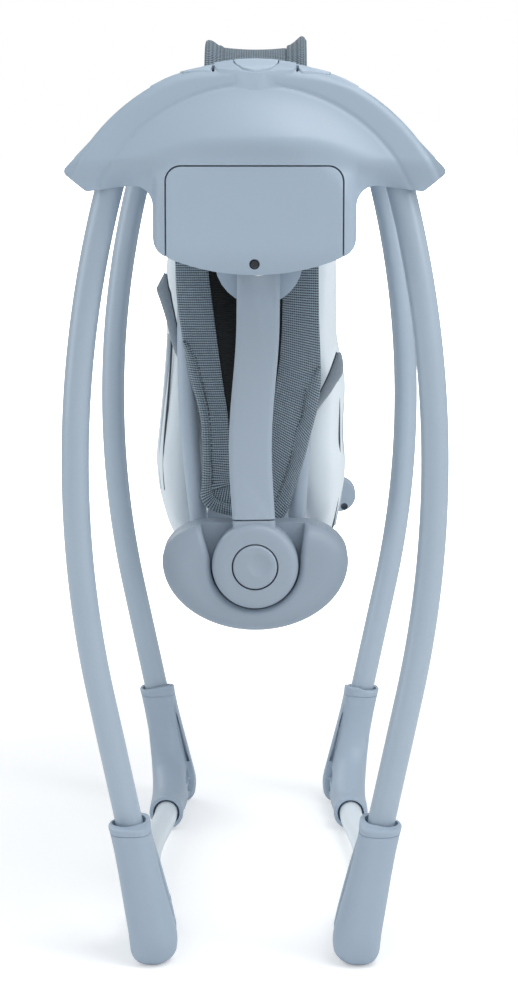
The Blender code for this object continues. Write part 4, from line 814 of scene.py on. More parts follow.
def turned(name, profile, side, x, z, count):
    """A round solid across the swing, grown ring by ring from a (depth, radius) profile."""
    rings = [[(ring_x, side * depth, ring_z)
              for ring_x, ring_z in arc_points(x, z, radius, 0, 360 - 360 / count, count - 1)]
             for depth, radius in profile]
    return grow(name, rings)


axle_x, axle_z, arm_half = 0.0025, 0.501, 0.01515


def arm_x(z):
    """The arm's middle line: leaning from the hub to the axle, with a slight bow above its foot."""
    lean = axle_x * (z - hub_z) / 0.215
    share = min(max((0.460 - z) / 0.174, 0), 1)
    return lean - 0.0044 * math.sin(math.pi * share) ** 2


for where, side in side_of.items():
    heights = [0.480 - (0.480 - 0.3130) * i / 40 for i in range(41)]
    right = [(arm_x(z) + arm_half, z) for z in heights]
    left = [(x - 2 * arm_half, z) for x, z in reversed(right)]
    head = arc_points(axle_x, axle_z, arm_half, 180, 0, 32)
    arm = plate(f"swing_arm_{where}_skin", right + left + head, side, 0.193, 0.208)
    round_edges(arm, 0.0042, 5, 40)
    below_arm = [(-0.030, 0.305), (0.030, 0.305), (0.030, 0.3199), (-0.030, 0.3191)]
    carve(arm, round_bar("bore", (axle_x, axle_z), side, 0.185, 0.215, 0.0043, 32),
          plate("cut", below_arm, side, 0.180, 0.220))
    tongue_place = (arm_x(0.3188), side * 0.2005, 0.3163)
    carve(arm, block(tongue_place, (0.019, 0.0084, 0.015)), operation="UNION")
    finish_mesh(arm, arm_plastic)
    fit(arm, "swing", f"swing_arm_{where}")

    profile = [(0.1903, 0.0300), (0.1912, 0.0307), (0.2050, 0.0307), (0.2076, 0.0304), (0.2098, 0.0294),
               (0.2112, 0.0277), (0.2119, 0.0252), (0.2122, 0.0220), (0.2122, 0.0180)]
    hub = turned(f"hub_{where}_skin", profile, side, 0, hub_z, 72)
    neck_half = [(arm_half, 0.3245), (arm_half, 0.3140), (0.0159, 0.3113), (0.0180, 0.3087), (0.0222, 0.3060),
                 (0.0180, hub_z)]
    neck_outline = [(x + arm_x(max(z, 0.309)), z) for x, z in neck_half]
    neck_outline += [(arm_x(max(z, 0.309)) - x, z) for x, z in reversed(neck_half)]
    neck = plate("neck", neck_outline, side, 0.193, 0.208)
    round_edges(neck, 0.0038, 5, 60)
    above_neck = [(-0.030, 0.3180), (0.030, 0.3188), (0.030, 0.335), (-0.030, 0.335)]
    carve(neck, plate("cut", above_neck, side, 0.180, 0.220))
    carve(hub, neck, operation="UNION")
    carve(hub, round_bar("bore", (0, hub_z), side, 0.2015, 0.230, 0.0166, 64),
          round_bar("seat", (0, hub_z), side, 0.180, 0.1984, 0.0094, 40))
    carve(hub, block(tongue_place, (0.0196, 0.0090, 0.0156)))
    finish_mesh(hub, hub_plastic, 42)
    fit(hub, "swing", f"hub_{where}")

    profile = [(0.2049, 0.0156), (0.2114, 0.0157), (0.2127, 0.0153), (0.2132, 0.0145), (0.2133, 0.0130),
               (0.2133, 0.0070)]
    cap = turned(f"hub_button_{where}_skin", profile, side, 0, hub_z, 72)
    profile = [(0.2142, 0.0102), (0.2132, 0.0080), (0.2126, 0.0061), (0.21205, 0.0038), (0.2118, 0.0012)]
    carve(cap, turned("dimple", profile, side, 0.003, 0.2875, 45))
    finish_mesh(cap, hub_plastic, 42)
    fit(cap, f"hub_button_{where}", f"hub_button_{where}")

# Seat brackets
# Half-moon mouldings that carry the seat. Each has a deep round pocket for the hub, open at the top for
# the arm, and a smooth pillowed face; studs on the inside hold the ends of the two tube frames.
bracket_plastic = moulded_plastic("bracket_plastic", (0.325, 0.392, 0.470), 0.42)
moon_z, moon_half_x, pocket_radius = 0.2885, 0.0662, 0.0320
stud_z, stud_places = 0.300, (-0.0395, 0.0285)
moon_half = [(0, moon_z + 0.0260)]
moon_half += [(0.0318 + 0.0344 * x, moon_z + 0.0260 * z) for x, z in arc_points(0, 0, 1, 90, 0, 20)]
moon_half += [(moon_half_x * x, moon_z + 0.0505 * z) for x, z in arc_points(0, 0, 1, 0, -90, 36)][1:]
moon = mirror_outline(moon_half)
pocket_sides = [(hub_z, -pocket_radius, pocket_radius), (0.2905, -0.0324, 0.0322), (0.2970, -0.0342, 0.0330),
                (0.3040, -0.0366, 0.0341), (0.3120, -0.0386, 0.0351), (0.3245, -0.0400, 0.0358)]


def pocket_edges(z):
    """The pocket's left and right sides at a height above the hub's middle."""
    for (low, *first), (high, *second) in zip(pocket_sides, pocket_sides[1:]):
        if z <= high:
            share = (z - low) / (high - low)
            return [a + (b - a) * share for a, b in zip(first, second)]
    return pocket_sides[-1][1:]


def bracket_face(x, z):
    """How far the bracket's outer face stands out: rolled back at the outline and into the pocket."""
    if z < moon_z:
        reach = moon_half_x * (1 - math.hypot(x / moon_half_x, (z - moon_z) / 0.0505))
    else:
        reach = 0.0344 * (1 - math.hypot(max(abs(x) - 0.0318, 0) / 0.0344, (z - moon_z) / 0.0260))
    if z < hub_z:
        from_pocket = math.hypot(x, z - hub_z) - pocket_radius
    else:
        left, right = pocket_edges(z)
        from_pocket = left - x if x < 0 else x - right
    return 0.2062 - roll(reach, 0.019, 0.0088) - roll(max(from_pocket, 0), 0.0042, 0.0034)


for where, side in side_of.items():
    bracket = plate(f"seat_bracket_{where}_skin", moon, side, 0.165, 0.215)
    round_edges(bracket, 0.0025, 3, 60)
    outer = relief_block(side, bracket_face, 0.136, 0.080, 0.2765, 200, 118, 0.160)
    carve(bracket, outer, operation="INTERSECT")
    room = [(x * 0.955, 0.2745 + (z - 0.2745) * 0.92) for x, z in moon]
    carve(bracket, plate("room", room, side, 0.155, 0.187))
    pocket = arc_points(0, hub_z, pocket_radius, 0, -180, 48)
    pocket += [(left, z) for z, left, right in pocket_sides[1:]]
    pocket += [(right, z) for z, left, right in reversed(pocket_sides[1:])]
    carve(bracket, plate("pocket", pocket, side, 0.190, 0.225))
    carve(bracket, round_bar("stud", (0, hub_z), side, 0.1875, 0.198, 0.009, 40), operation="UNION")
    for stud_x in stud_places:
        carve(bracket, round_bar("boss", (stud_x, stud_z), side, 0.166, 0.188, 0.008, 32),
              round_bar("stud", (stud_x, stud_z), side, 0.1477, 0.188, 0.004, 24), operation="UNION")
    if where == "far":
        ear = round_bar("ear", (0.068, 0.281), side, 0.1655, 0.185, 0.014, 56)
        round_edges(ear, 0.0015, 3, 60)
        carve(bracket, ear, operation="UNION")
        carve(bracket, round_bar("screw", (0.0723, 0.2713), side, 0.155, 0.1735, 0.0030, 24))
    finish_mesh(bracket, bracket_plastic, 40)
    fit(bracket, "brackets", f"seat_bracket_{where}")

# Seat frames
# Two loops of painted tube, one for the backrest and one for the seat, hinged on the brackets' studs and
# folded up face to face. The cloth is sewn round them.
rail_paint = painted_tube("rail_paint", (0.43, 0.515, 0.61), 0.45, 0.05, 1.1)
# the loops' sides, and their corners' centres and radius
loop_y, bend_y, bend_z, bend_radius = 0.155, 0.120, 0.608, 0.035


def rail_line(hinge_x, top_x, bow):
    """A loop's centre line, up the near side, over the top and down the far side."""
    def rail_x(z):
        share = (z - stud_z) / 0.343
        return hinge_x + (top_x - hinge_x) * share + 4 * bow * share * (1 - share)
    half = [(rail_x(z), -loop_y, z) for z in [0.293 + (bend_z - 0.293) * i / 30 for i in range(31)]]
    for i in range(1, 13):
        a = math.radians(i * 7.5)
        z = bend_z + bend_radius * math.sin(a)
        half.append((rail_x(z), -bend_y - bend_radius * math.cos(a), z))
    return half + [(x, -y, z) for x, y, z in reversed(half)]


for part, body, line in (("backrest_frame", "backrest", rail_line(-0.0395, -0.0277, -0.0160)),
                         ("seat_frame", "seat", rail_line(0.0285, 0.0280, 0.0080))):
    rail = along(part + "_skin", line, 0.0065, rail_paint, 32)
    for side in (-1, 1):
        carve(rail, round_bar("hinge", (line[0][0], stud_z), side, 0.140, 0.170, 0.0044, 24))
    finish_mesh(rail, rail_paint, 50)
    fit(rail, body, part)

# Padded panels
# The backrest and the seat are foam panels in a satin-coated pale cloth. The cloth is pulled over the
# tubes and sewn down with a corded grey edge, so it swells between its seams and draws in at the ends.


def satin_cloth(name, colour):
    """Coated pale cloth: a very fine plain weave, soft creases and a satin sheen."""
    made, tree, shader = new_material(name, colour, 0.46, Sheen_Weight=0.08, Sheen_Roughness=0.4)
    place = add_node(tree, "TexCoord").outputs["Object"]
    weave_y = pattern(tree, place, "TexWave", {"bands_direction": "Y"}, Scale=560, Distortion=0.6)
    weave_z = pattern(tree, place, "TexWave", {"bands_direction": "Z"}, Scale=560, Distortion=0.6)
    stretch = pattern(tree, place, "Mapping", Scale=(16, 16, 7))
    crease = pattern(tree, stretch.outputs[0], "TexNoise", Scale=1.6, Detail=3, Distortion=1.2)
    stain = pattern(tree, place, "TexNoise", Scale=11, Detail=3)
    threads = add_node(tree, "Math", {"operation": "ADD"})
    tree.links.new(weave_y.outputs["Fac"], threads.inputs[0])
    tree.links.new(weave_z.outputs["Fac"], threads.inputs[1])
    stained = mix_colours(tree, stain.outputs[0], toned(colour, 0.93), toned(colour, 1.05))
    tree.links.new(stained, shader.inputs["Base Color"])
    fine = add_node(tree, "Bump", Strength=0.18, Distance=0.00006)
    soft = add_node(tree, "Bump", Strength=0.30, Distance=0.0016)
    tree.links.new(threads.outputs[0], fine.inputs["Height"])
    tree.links.new(crease.outputs[0], soft.inputs["Height"])
    tree.links.new(soft.outputs[0], fine.inputs["Normal"])
    tree.links.new(fine.outputs[0], shader.inputs["Normal"])
    return made


pale_satin = satin_cloth("pale_satin", (0.83, 0.905, 0.955))
edge_cloth = satin_cloth("edge_cloth", (0.50, 0.585, 0.66))
edge_cord = new_material("edge_cord", (0.06, 0.075, 0.095), 0.75, Sheen_Weight=0.1)[0]
pad_squareness = 4.5


def swell(piece, pressure, cap):
    """The cushion blown up a little as cloth, with no point moved further than the cap."""
    rest = [vertex.co.copy() for vertex in piece.data.vertices]
    step = piece.modifiers.new("Cloth", "CLOTH")
    for key, value in (("quality", 5), ("use_pressure", True), ("uniform_pressure_force", pressure),
                       ("tension_stiffness", 25), ("compression_stiffness", 25), ("shear_stiffness", 8),
                       ("bending_stiffness", 1.5)):
        setattr(step.settings, key, value)
    step.settings.effector_weights.gravity = 0
    step.point_cache.frame_start = 1
    step.point_cache.frame_end = 20
    for moment in range(1, 21):
        bpy.context.scene.frame_set(moment)
    blown = piece.evaluated_get(bpy.context.evaluated_depsgraph_get()).to_mesh()
    places = [vertex.co.copy() for vertex in blown.vertices]
    piece.modifiers.remove(step)
    bpy.context.scene.frame_set(1)
    for vertex, start, end in zip(piece.data.vertices, rest, places):
        way = end - start
        vertex.co = start + way * min(1, cap / way.length) if way.length > 1e-9 else start


def faces_at(stations, z):
    """A panel's inner and outer x at a height, from its (height, inner x, outer x) stations."""
    k = max(j for j in range(len(stations) - 1) if stations[j][0] <= z + 1e-9)
    share = (z - stations[k][0]) / (stations[k + 1][0] - stations[k][0])
    return [stations[k][j] + (stations[k + 1][j] - stations[k][j]) * share for j in (1, 2)]


def pad_width(z):
    """Half a pad's width at a height: round corners at the top, drawn in at the foot."""
    rise = min(max(z - bend_z, 0), 0.026)
    width = bend_y + math.sqrt(0.026 ** 2 - rise ** 2)
    return width - 0.014 * max(1 - (z - 0.287) / 0.036, 0) ** 2 - 0.002


def panel(name, stations):
    """A padded panel grown through its stations."""
    low, high = stations[0][0], stations[-1][0]
    rings = []
    for z in [low + (high - low) * i / 60 for i in range(61)]:
        inner, outer = faces_at(stations, z)
        half, middle = abs(outer - inner) / 2, (outer + inner) / 2
        rings.append([(middle + a, b, z) for a, b in oval(half, pad_width(z), pad_squareness, 96)])
    return grow(name, rings)


def pad_edge(stations, side, share, out, low, high):
    """A line up a panel's outer edge, at a share of its half width from the middle, standing out a little."""
    points = []
    for z in [low + (high - low) * i / 40 for i in range(41)]:
        around = [faces_at(stations, max(z + 0.006 * step, 0.288)) for step in range(-4, 5)]
        inner, outer = (sum(faces) / 9 for faces in zip(*around))
        reach = abs(outer - inner) / 2 * (1 - share ** pad_squareness) ** (1 / pad_squareness) + out
        x = (inner + outer) / 2 + math.copysign(reach, outer - inner)
        points.append((x, side * share * pad_width(z), z))
    return points


backrest_stations = [(0.2870, -0.0450, -0.0560), (0.2950, -0.0400, -0.0630), (0.3260, -0.0360, -0.0713),
                     (0.3490, -0.0340, -0.0735), (0.3960, -0.0320, -0.0685), (0.4400, -0.0300, -0.0648),
                     (0.4880, -0.0280, -0.0655), (0.5600, -0.0240, -0.0560), (0.6080, -0.0210, -0.0455),
                     (0.6220, -0.0215, -0.0420), (0.6300, -0.0225, -0.0400), (0.6335, -0.0250, -0.0380)]
seat_stations = [(0.2870, 0.0450, 0.0530), (0.2980, 0.0370, 0.0575), (0.3200, 0.0300, 0.0625),
                 (0.3420, 0.0240, 0.0655), (0.3660, 0.0205, 0.0630), (0.4040, 0.0185, 0.0650),
                 (0.4380, 0.0180, 0.0580), (0.4970, 0.0180, 0.0575), (0.5600, 0.0180, 0.0510),
                 (0.6080, 0.0190, 0.0425), (0.6220, 0.0200, 0.0405), (0.6300, 0.0220, 0.0395),
                 (0.6335, 0.0250, 0.0380)]
# the edging's and the cord's shares of the half width, and the heights between which they show
edging_of = {"backrest": (0.88, 0.94, 0.330, 0.444), "seat": (0.78, 0.87, 0.300, 0.416)}
for part, body, stations in (("backrest_pad", "backrest", backrest_stations),
                             ("seat_pad", "seat", seat_stations)):
    pad = panel(part + "_skin", stations)
    add_modifier(pad, "REMESH", mode="VOXEL", voxel_size=0.0050)
    swell(pad, 3.0, 0.0022)
    add_modifier(pad, "SUBSURF", levels=1, render_levels=1)
    finish_mesh(pad, pale_satin, 60)
    bpy.ops.object.shade_smooth()
    fit(pad, body, part)
    edge_share, cord_share, low, top = edging_of[body]
    for where, side in side_of.items():
        edge_line = pad_edge(stations, side, edge_share, 0.0006, low, top)
        cord_line = pad_edge(stations, side, cord_share, 0.0005, low, top)
        for piece in (along(f"{body}_edging_{where}", edge_line, 0.0019, edge_cloth, 16),
                      along(f"{body}_cord_{where}", cord_line, 0.0008, edge_cord, 12)):
            fit(piece, body)

# Woven side bands
# A coarse grey woven cloth closes the seat's sides. Folded up, it shows as one band down the backrest and
# one down the seat, each ending in a rolled, stitched hem that doubles back at the foot.


def woven_cloth(name, colour, gap_colour, rows=0.00176, columns=0.0015, sheen=0.25):
    """Coarse woven cloth by the piece's own UV map, in metres: rows of yarn with broken dark gaps."""
    made, tree, shader = new_material(name, colour, 0.88, Sheen_Weight=sheen, Sheen_Roughness=0.5)
    place = add_node(tree, "UVMap").outputs["UV"]
    across = pattern(tree, place, "TexWave", {"bands_direction": "Y", "wave_profile": "SIN"},
                     Scale=0.314159 / rows, Distortion=0.7, Detail=2, Detail_Scale=2)
    down = pattern(tree, place, "TexWave", {"bands_direction": "X", "wave_profile": "SIN"},
                   Scale=0.314159 / columns, Distortion=0.9, Detail=2, Detail_Scale=2)
    fuzz = pattern(tree, place, "TexNoise", Scale=900, Detail=2)
    fade = pattern(tree, place, "TexNoise", Scale=260, Detail=3)
    rib = add_node(tree, "Math", {"operation": "MULTIPLY_ADD"})
    rib.inputs[1].default_value = 0.50
    tree.links.new(down.outputs["Fac"], rib.inputs[0])
    tree.links.new(across.outputs["Fac"], rib.inputs[2])
    level = add_ramp(tree, rib.outputs[0], 0.30, 1.05)
    yarn = mix_colours(tree, fade.outputs[0], toned(colour, 0.80), toned(colour, 1.20))
    tree.links.new(mix_colours(tree, level, gap_colour, yarn), shader.inputs["Base Color"])
    height = add_node(tree, "Math", {"operation": "MULTIPLY_ADD"})
    height.inputs[1].default_value = 0.18
    tree.links.new(fuzz.outputs[0], height.inputs[0])
    tree.links.new(level, height.inputs[2])
    add_bump(tree, shader, height.outputs[0], 0.8, 0.0005)
    return made


woven_grey = woven_cloth("woven_grey", (0.335, 0.425, 0.495), (0.052, 0.067, 0.086))
# The hood's cloth is the bands' woven cloth made darker: partly its stretched weave, partly painted shade.
woven_top_painted_shade = woven_cloth("woven_top_painted_shade", (0.235, 0.305, 0.360), (0.045, 0.058, 0.075), sheen=0.1)
# Near-black cloth for the gussets: its colour is painted shade for the shadowed inside of the deep fold.
gusset_painted_shade = woven_cloth("gusset_painted_shade", (0.013, 0.017, 0.019), (0.008, 0.010, 0.012), sheen=0)
strap_webbing = woven_cloth("strap_webbing", (0.40, 0.475, 0.54), (0.24, 0.295, 0.345), 0.0009, 0.0009)


def along_rows(rows, share):
    """The smooth in-between row of numbers, at a share from the first row to the last."""
    place = min(max(share, 0), 1) * (len(rows) - 1)
    k = min(int(place), len(rows) - 2)
    t = place - k
    before, start, end, after = rows[max(k - 1, 0)], rows[k], rows[k + 1], rows[min(k + 2, len(rows) - 1)]
    return [((2 * t ** 3 - 3 * t ** 2 + 1) * start[j] + (t ** 3 - 2 * t ** 2 + t) * (end[j] - before[j]) / 2
             + (3 * t ** 2 - 2 * t ** 3) * end[j] + (t ** 3 - t ** 2) * (after[j] - start[j]) / 2)
            for j in range(len(start))]


def cloth_strip(name, place_at, columns, rows, thickness, look):
    """A strip of cloth. place_at gives the place for shares across and along it; its UV map is in metres."""
    bpy.ops.object.select_all(action="DESELECT")
    bpy.ops.mesh.primitive_grid_add(x_subdivisions=columns, y_subdivisions=rows, size=2)
    piece = bpy.context.object
    piece.name = name
    middles = [Vector(place_at(0.5, i / rows)) for i in range(rows + 1)]
    lengths = [0]
    for start, end in zip(middles, middles[1:]):
        lengths.append(lengths[-1] + (end - start).length)
    widths = [(Vector(place_at(0, i / rows)) - Vector(place_at(1, i / rows))).length for i in range(rows + 1)]
    flat = []
    for vertex in piece.data.vertices:
        across, share = (vertex.co.x + 1) / 2, (vertex.co.y + 1) / 2
        row = round(share * rows)
        flat.append(((across - 0.5) * widths[row], lengths[row]))
        vertex.co = place_at(across, share)
    uv = piece.data.uv_layers.active or piece.data.uv_layers.new(name="cloth")
    for corner in piece.data.loops:
        uv.data[corner.index].uv = flat[corner.vertex_index]
    add_modifier(piece, "SOLIDIFY", thickness=thickness, offset=0)
    bpy.ops.object.shade_smooth()
    piece.data.materials.append(look)
    return piece


def flat_strip(edges, side, depth, bulge, wave=0.0):
    """A strip's surface between its two (x, z) edges, standing out by a bulge in the middle."""
    def place(across, share):
        left, foot, right, head = along_rows(edges, share)
        x, z = left + (right - left) * across, foot + (head - foot) * across
        rise = bulge * math.sin(math.pi * min(max(across, 0), 1)) ** 0.6
        ripple = wave * math.sin(z * 120 + across * 2.2) * math.sin(math.pi * across)
        return (x, side * (depth + rise + ripple), z)
    return place


def stitches(name, points, side, depth, look):
    """A line of short raised stitches along (x, z) points."""
    length, gap, half_thick = 0.0022, 0.0016, 0.00035
    spots = []
    left_over = 0
    for (x0, z0), (x1, z1) in zip(points, points[1:]):
        run = math.hypot(x1 - x0, z1 - z0)
        way_x, way_z = (x1 - x0) / run, (z1 - z0) / run
        at = left_over
        while at < run:
            spots.append((x0 + way_x * at, z0 + way_z * at, way_x, way_z))
            at += length + gap
        left_over = at - run
    pieces = []
    for x, z, way_x, way_z in spots:
        bpy.ops.object.select_all(action="DESELECT")
        bpy.ops.mesh.primitive_uv_sphere_add(segments=6, ring_count=4, radius=1)
        stitch = bpy.context.object
        for vertex in stitch.data.vertices:
            a, b, c = vertex.co
            vertex.co = (x + way_x * c * length / 2 + way_z * a * half_thick, side * depth + b * half_thick,
                         z + way_z * c * length / 2 - way_x * a * half_thick)
        pieces.append(stitch)
    for stitch in pieces:
        stitch.select_set(True)
    bpy.context.view_layer.objects.active = pieces[0]
    bpy.ops.object.join()
    joined = bpy.context.object
    joined.name = name
    return finish_mesh(joined, look, 60)


back_band_edges = [(-0.0560, 0.5980, -0.0330, 0.5980), (-0.0574, 0.5650, -0.0345, 0.5650),
                   (-0.0578, 0.5320, -0.0352, 0.5320), (-0.0573, 0.4990, -0.0344, 0.4990),
                   (-0.0560, 0.4714, -0.0314, 0.4714), (-0.0520, 0.4428, -0.0278, 0.4428),
                   (-0.0468, 0.4147, -0.0242, 0.4147), (-0.0400, 0.3902, -0.0205, 0.3902),
                   (-0.0376, 0.3667, -0.0184, 0.3667), (-0.0377, 0.3462, -0.0150, 0.3442),
                   (-0.0388, 0.3314, -0.0100, 0.3401)]
seat_band_edges = [(0.0190, 0.5980, 0.0440, 0.5980), (0.0195, 0.5500, 0.0446, 0.5500),
                   (0.0196, 0.5050, 0.0448, 0.5050), (0.0194, 0.4641, 0.0452, 0.4609),
                   (0.0182, 0.4375, 0.0464, 0.4300), (0.0165, 0.4215, 0.0464, 0.4109),
                   (0.0140, 0.4056, 0.0438, 0.3942), (0.0120, 0.3902, 0.0396, 0.3769),
                   (0.0104, 0.3738, 0.0350, 0.3585), (0.0090, 0.3565, 0.0298, 0.3422),
                   (0.0076, 0.3381, 0.0240, 0.3248), (0.0060, 0.3217, 0.0190, 0.3125)]
back_hem_edges = [(-0.0520, 0.4418, -0.0500, 0.4407), (-0.0497, 0.4311, -0.0436, 0.4300),
                  (-0.0466, 0.4140, -0.0388, 0.4130), (-0.0412, 0.3953, -0.0352, 0.3948),
                  (-0.0386, 0.3799, -0.0333, 0.3799), (-0.0380, 0.3626, -0.0327, 0.3626),
                  (-0.0381, 0.3483, -0.0321, 0.3473), (-0.0389, 0.3370, -0.0319, 0.3381),
                  (-0.0394, 0.3299, -0.0316, 0.3332), (-0.0372, 0.3238, -0.0304, 0.3299),
                  (-0.0320, 0.3195, -0.0282, 0.3273), (-0.0250, 0.3172, -0.0240, 0.3250),
                  (-0.0170, 0.3156, -0.0175, 0.3229), (-0.0090, 0.3146, -0.0100, 0.3213)]
seat_hem_edges = [(0.0450, 0.4236, 0.0465, 0.4225), (0.0400, 0.4135, 0.0464, 0.4109),
                  (0.0362, 0.4014, 0.0445, 0.3953), (0.0340, 0.3881, 0.0410, 0.3810),
                  (0.0298, 0.3774, 0.0376, 0.3677), (0.0277, 0.3669, 0.0346, 0.3565),
                  (0.0252, 0.3549, 0.0308, 0.3442), (0.0203, 0.3396, 0.0268, 0.3309),
                  (0.0152, 0.3258, 0.0226, 0.3187), (0.0105, 0.3156, 0.0160, 0.3105)]
doubled_edges = [(-0.0318, 0.3289, -0.0318, 0.3330), (-0.0280, 0.3263, -0.0250, 0.3365),
                 (-0.0200, 0.3227, -0.0180, 0.3391), (-0.0100, 0.3197, -0.0100, 0.3411)]
back_seam = [(-0.0436, 0.4300), (-0.0388, 0.4130), (-0.0352, 0.3948), (-0.0333, 0.3799), (-0.0327, 0.3626),
             (-0.0321, 0.3473), (-0.0319, 0.3381)]
seat_seam = [(0.0364, 0.4067), (0.0340, 0.3881), (0.0298, 0.3774), (0.0277, 0.3669), (0.0252, 0.3549),
             (0.0203, 0.3396), (0.0152, 0.3258)]
back_strap_edges = [(-0.0652, 0.4897, -0.0645, 0.4890), (-0.0703, 0.4804, -0.0631, 0.4796),
                    (-0.0710, 0.4775, -0.0616, 0.4753), (-0.0681, 0.4688, -0.0609, 0.4703),
                    (-0.0645, 0.4573, -0.0580, 0.4559), (-0.0616, 0.4451, -0.0552, 0.4436),
                    (-0.0580, 0.4328, -0.0530, 0.4343), (-0.0516, 0.4199, -0.0490, 0.4230),
                    (-0.0480, 0.4110, -0.0460, 0.4150)]
seat_strap_edges = [(0.0587, 0.4326, 0.0609, 0.4326), (0.0573, 0.4282, 0.0626, 0.4261),
                    (0.0537, 0.4182, 0.0623, 0.4175), (0.0501, 0.4102, 0.0580, 0.4105),
                    (0.0465, 0.4030, 0.0537, 0.4035), (0.0443, 0.3966, 0.0486, 0.3970),
                    (0.0405, 0.3894, 0.0440, 0.3905)]
dark_thread = new_material("dark_thread", (0.055, 0.065, 0.08), 0.7, Sheen_Weight=0.2)[0]

for where, side in side_of.items():
    for body, edges, hem_edges, seam, strap_edges, size in (
            ("backrest", back_band_edges, back_hem_edges, back_seam, back_strap_edges, (0.0240, 0.262)),
            ("seat", seat_band_edges, seat_hem_edges, seat_seam, seat_strap_edges, (0.0262, 0.283))):
        band = cloth_strip(f"{body}_band_{where}_skin", flat_strip(edges, side, 0.1624, 0.0014, 0.0006),
                           24, 120, 0.0010, woven_grey)
        hem = cloth_strip(f"{body}_hem_{where}", flat_strip(hem_edges, side, 0.1636, 0.0022),
                          12, 70, 0.0009, woven_grey)
        outward = 0.0009 if body == "backrest" else -0.0009
        seam_line = [(x + outward, z) for x, z in seam]
        thread = stitches(f"{body}_hem_stitches_{where}", seam_line, side, 0.1646, dark_thread)
        strap = cloth_strip(f"{body}_strap_{where}", flat_strip(strap_edges, side, 0.1490, 0.0014),
                            12, 40, 0.0014, strap_webbing)
        rim = [row[2:] if body == "backrest" else row[:2] for row in strap_edges]
        rim_line = [(x, side * 0.1495, z) for x, z in rim]
        strap_rim = along(f"{body}_strap_rim_{where}", rim_line, 0.0008, edge_cord, 12)
        with_it = [hem, thread, strap, strap_rim]
        if body == "backrest":
            doubled = cloth_strip(f"{body}_doubled_cloth_{where}",
                                  flat_strip(doubled_edges, side, 0.1620, 0.0008), 10, 20, 0.0008, woven_grey)
            with_it.append(doubled)
        for piece in [band] + with_it:
            fit(piece, body)
        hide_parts(f"{body}_band_{where}")

# Gussets
# Between the two bands the sides of the seat are closed by cloth, which tucks inwards in a deep fold when
# the seat is folded up. Each half is sewn along its band. The cloth's near-black colour is painted shade
# for the shadowed inside of the fold.


def gusset_face(edges, side, towards):
    """The tucked half of the gusset, from the band's inner edge to the bottom of the fold."""
    def place(across, share):
        left, foot, right, head = along_rows(edges, share)
        start, z = (right, head) if towards > 0 else (left, foot)
        end = -0.0045 + 0.004 * math.sin((z - 0.3) * 9)
        depth = 0.1618 - 0.0215 * across ** 0.8
        pleat = 0.0022 * math.sin(across * 9.0 + z * 14) * math.sin(math.pi * across)
        return (start + (end - start) * across, side * (depth + pleat), z)
    return place


for where, side in side_of.items():
    for body, edges, towards, size in (("backrest", back_band_edges, 1, (0.036, 0.256)),
                                       ("seat", seat_band_edges, -1, (0.0335, 0.272))):
        tucked = gusset_face(edges, side, towards)
        fold = cloth_strip(f"{body}_gusset_{where}", tucked, 14, 60, 0.0008, gusset_painted_shade)
        fit(fold, body)

# Top cloth
# The woven cloth is drawn over the tops of both tubes like a hood and sags between them. Its two corners
# stand up as stiff sewn folds, a rounded one over the backrest and a pointed one over the seat.
hood_left, hood_right, hood_reach = -0.0277, 0.0280, 0.0076
hood_wrap = 0.16  # the share of the width that wraps round each tube


def hood_line(share):
    """The tubes' own line over the top, from the near side to the far side: a place and its way outwards."""
    straight, bend, flat = 0.018, bend_radius * math.pi / 2, 0.240
    total = 2 * (straight + bend) + flat
    far = share > 0.5
    run = total * (1 - share if far else share)
    if run < straight:
        found = (-loop_y, 0.590 + run, -1, 0)
    elif run < straight + bend:
        a = (run - straight) / bend_radius
        found = (-bend_y - bend_radius * math.cos(a), bend_z + bend_radius * math.sin(a),
                 -math.cos(a), math.sin(a))
    else:
        found = (-bend_y + run - straight - bend, 0.643, 0, 1)
    y, z, out_y, out_z = found
    return (-y, z, -out_y, out_z) if far else found


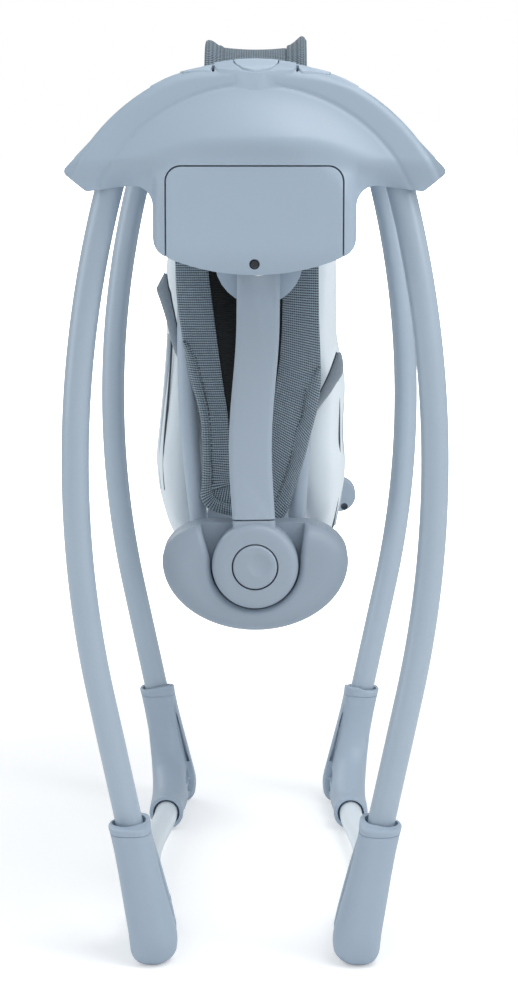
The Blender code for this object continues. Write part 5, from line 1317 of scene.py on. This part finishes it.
def hood_face(across, share):
    """The cloth's place: round each tube at its edges, and sagging between its two seams."""
    y, z, out_y, out_z = hood_line(share)
    if across < hood_wrap or across > 1 - hood_wrap:
        turn = math.pi / 2 * min(across, 1 - across) / hood_wrap
        middle = hood_left if across < 0.5 else hood_right
        x = middle - math.copysign(hood_reach, 0.5 - across) * math.cos(turn)
        out = hood_reach * math.sin(turn)
    else:
        along_sag = (across - hood_wrap) / (1 - 2 * hood_wrap)
        x = hood_left + (hood_right - hood_left) * along_sag
        seam = sum(math.exp(-((x - at) / 0.0011) ** 2) for at in (-0.0245, 0.0225))
        out = hood_reach - 0.0024 * math.sin(math.pi * along_sag) ** 0.7 - 0.0010 * seam
    return (x, y + out_y * out, z + out_z * out)


# The hood and its corner folds use the darker hood cloth, whose colour is partly painted shade.
hood = cloth_strip("top_cloth_band_skin", hood_face, 64, 120, 0.0009, woven_top_painted_shade)
fit(hood, "backrest", "top_cloth_band")


def fold_height(top, share):
    """The fold rises up the sides to its full height at each end, and is lower along the middle."""
    from_end = min(share, 1 - share)
    return top * (smooth_step(from_end, 0, 0.20) - 0.30 * smooth_step(from_end, 0.26, 0.46))


def corner_fold(name, outline, top):
    """A stiff folded corner, swept along the tubes' line. outline is (x, share of the height)."""
    def place(across, share):
        y, z, out_y, out_z = hood_line(share)
        spot = across * (len(outline) - 1)
        k = min(int(spot), len(outline) - 2)
        (x0, rise0), (x1, rise1) = outline[k], outline[k + 1]
        out = hood_reach - 0.0006 + (rise0 + (rise1 - rise0) * (spot - k)) * fold_height(top, share)
        return (x0 + (x1 - x0) * (spot - k), y + out_y * out, z + out_z * out)
    return cloth_strip(name, place, 40, 100, 0.0011, woven_top_painted_shade)


left_outline = [(-0.0352, -0.30), (-0.0360, 0.45), (-0.0356, 0.85), (-0.0342, 1.0), (-0.0322, 0.95),
                (-0.0298, 0.66), (-0.0272, 0.26), (-0.0250, 0.20), (-0.0238, 0.02), (-0.0236, -0.10)]
right_outline = [(0.0224, -0.10), (0.0228, 0.15), (0.0250, 0.22), (0.0285, 0.55), (0.0314, 0.90),
                 (0.0328, 1.0), (0.0342, 0.93), (0.0358, 0.62), (0.0356, 0.0), (0.0350, -0.20)]
left_fold = corner_fold("top_cloth_corner_left", left_outline, 0.0050)
fit(left_fold, "backrest")
right_fold = corner_fold("top_cloth_corner_right", right_outline, 0.0078)
fit(right_fold, "seat", "top_cloth_fold")
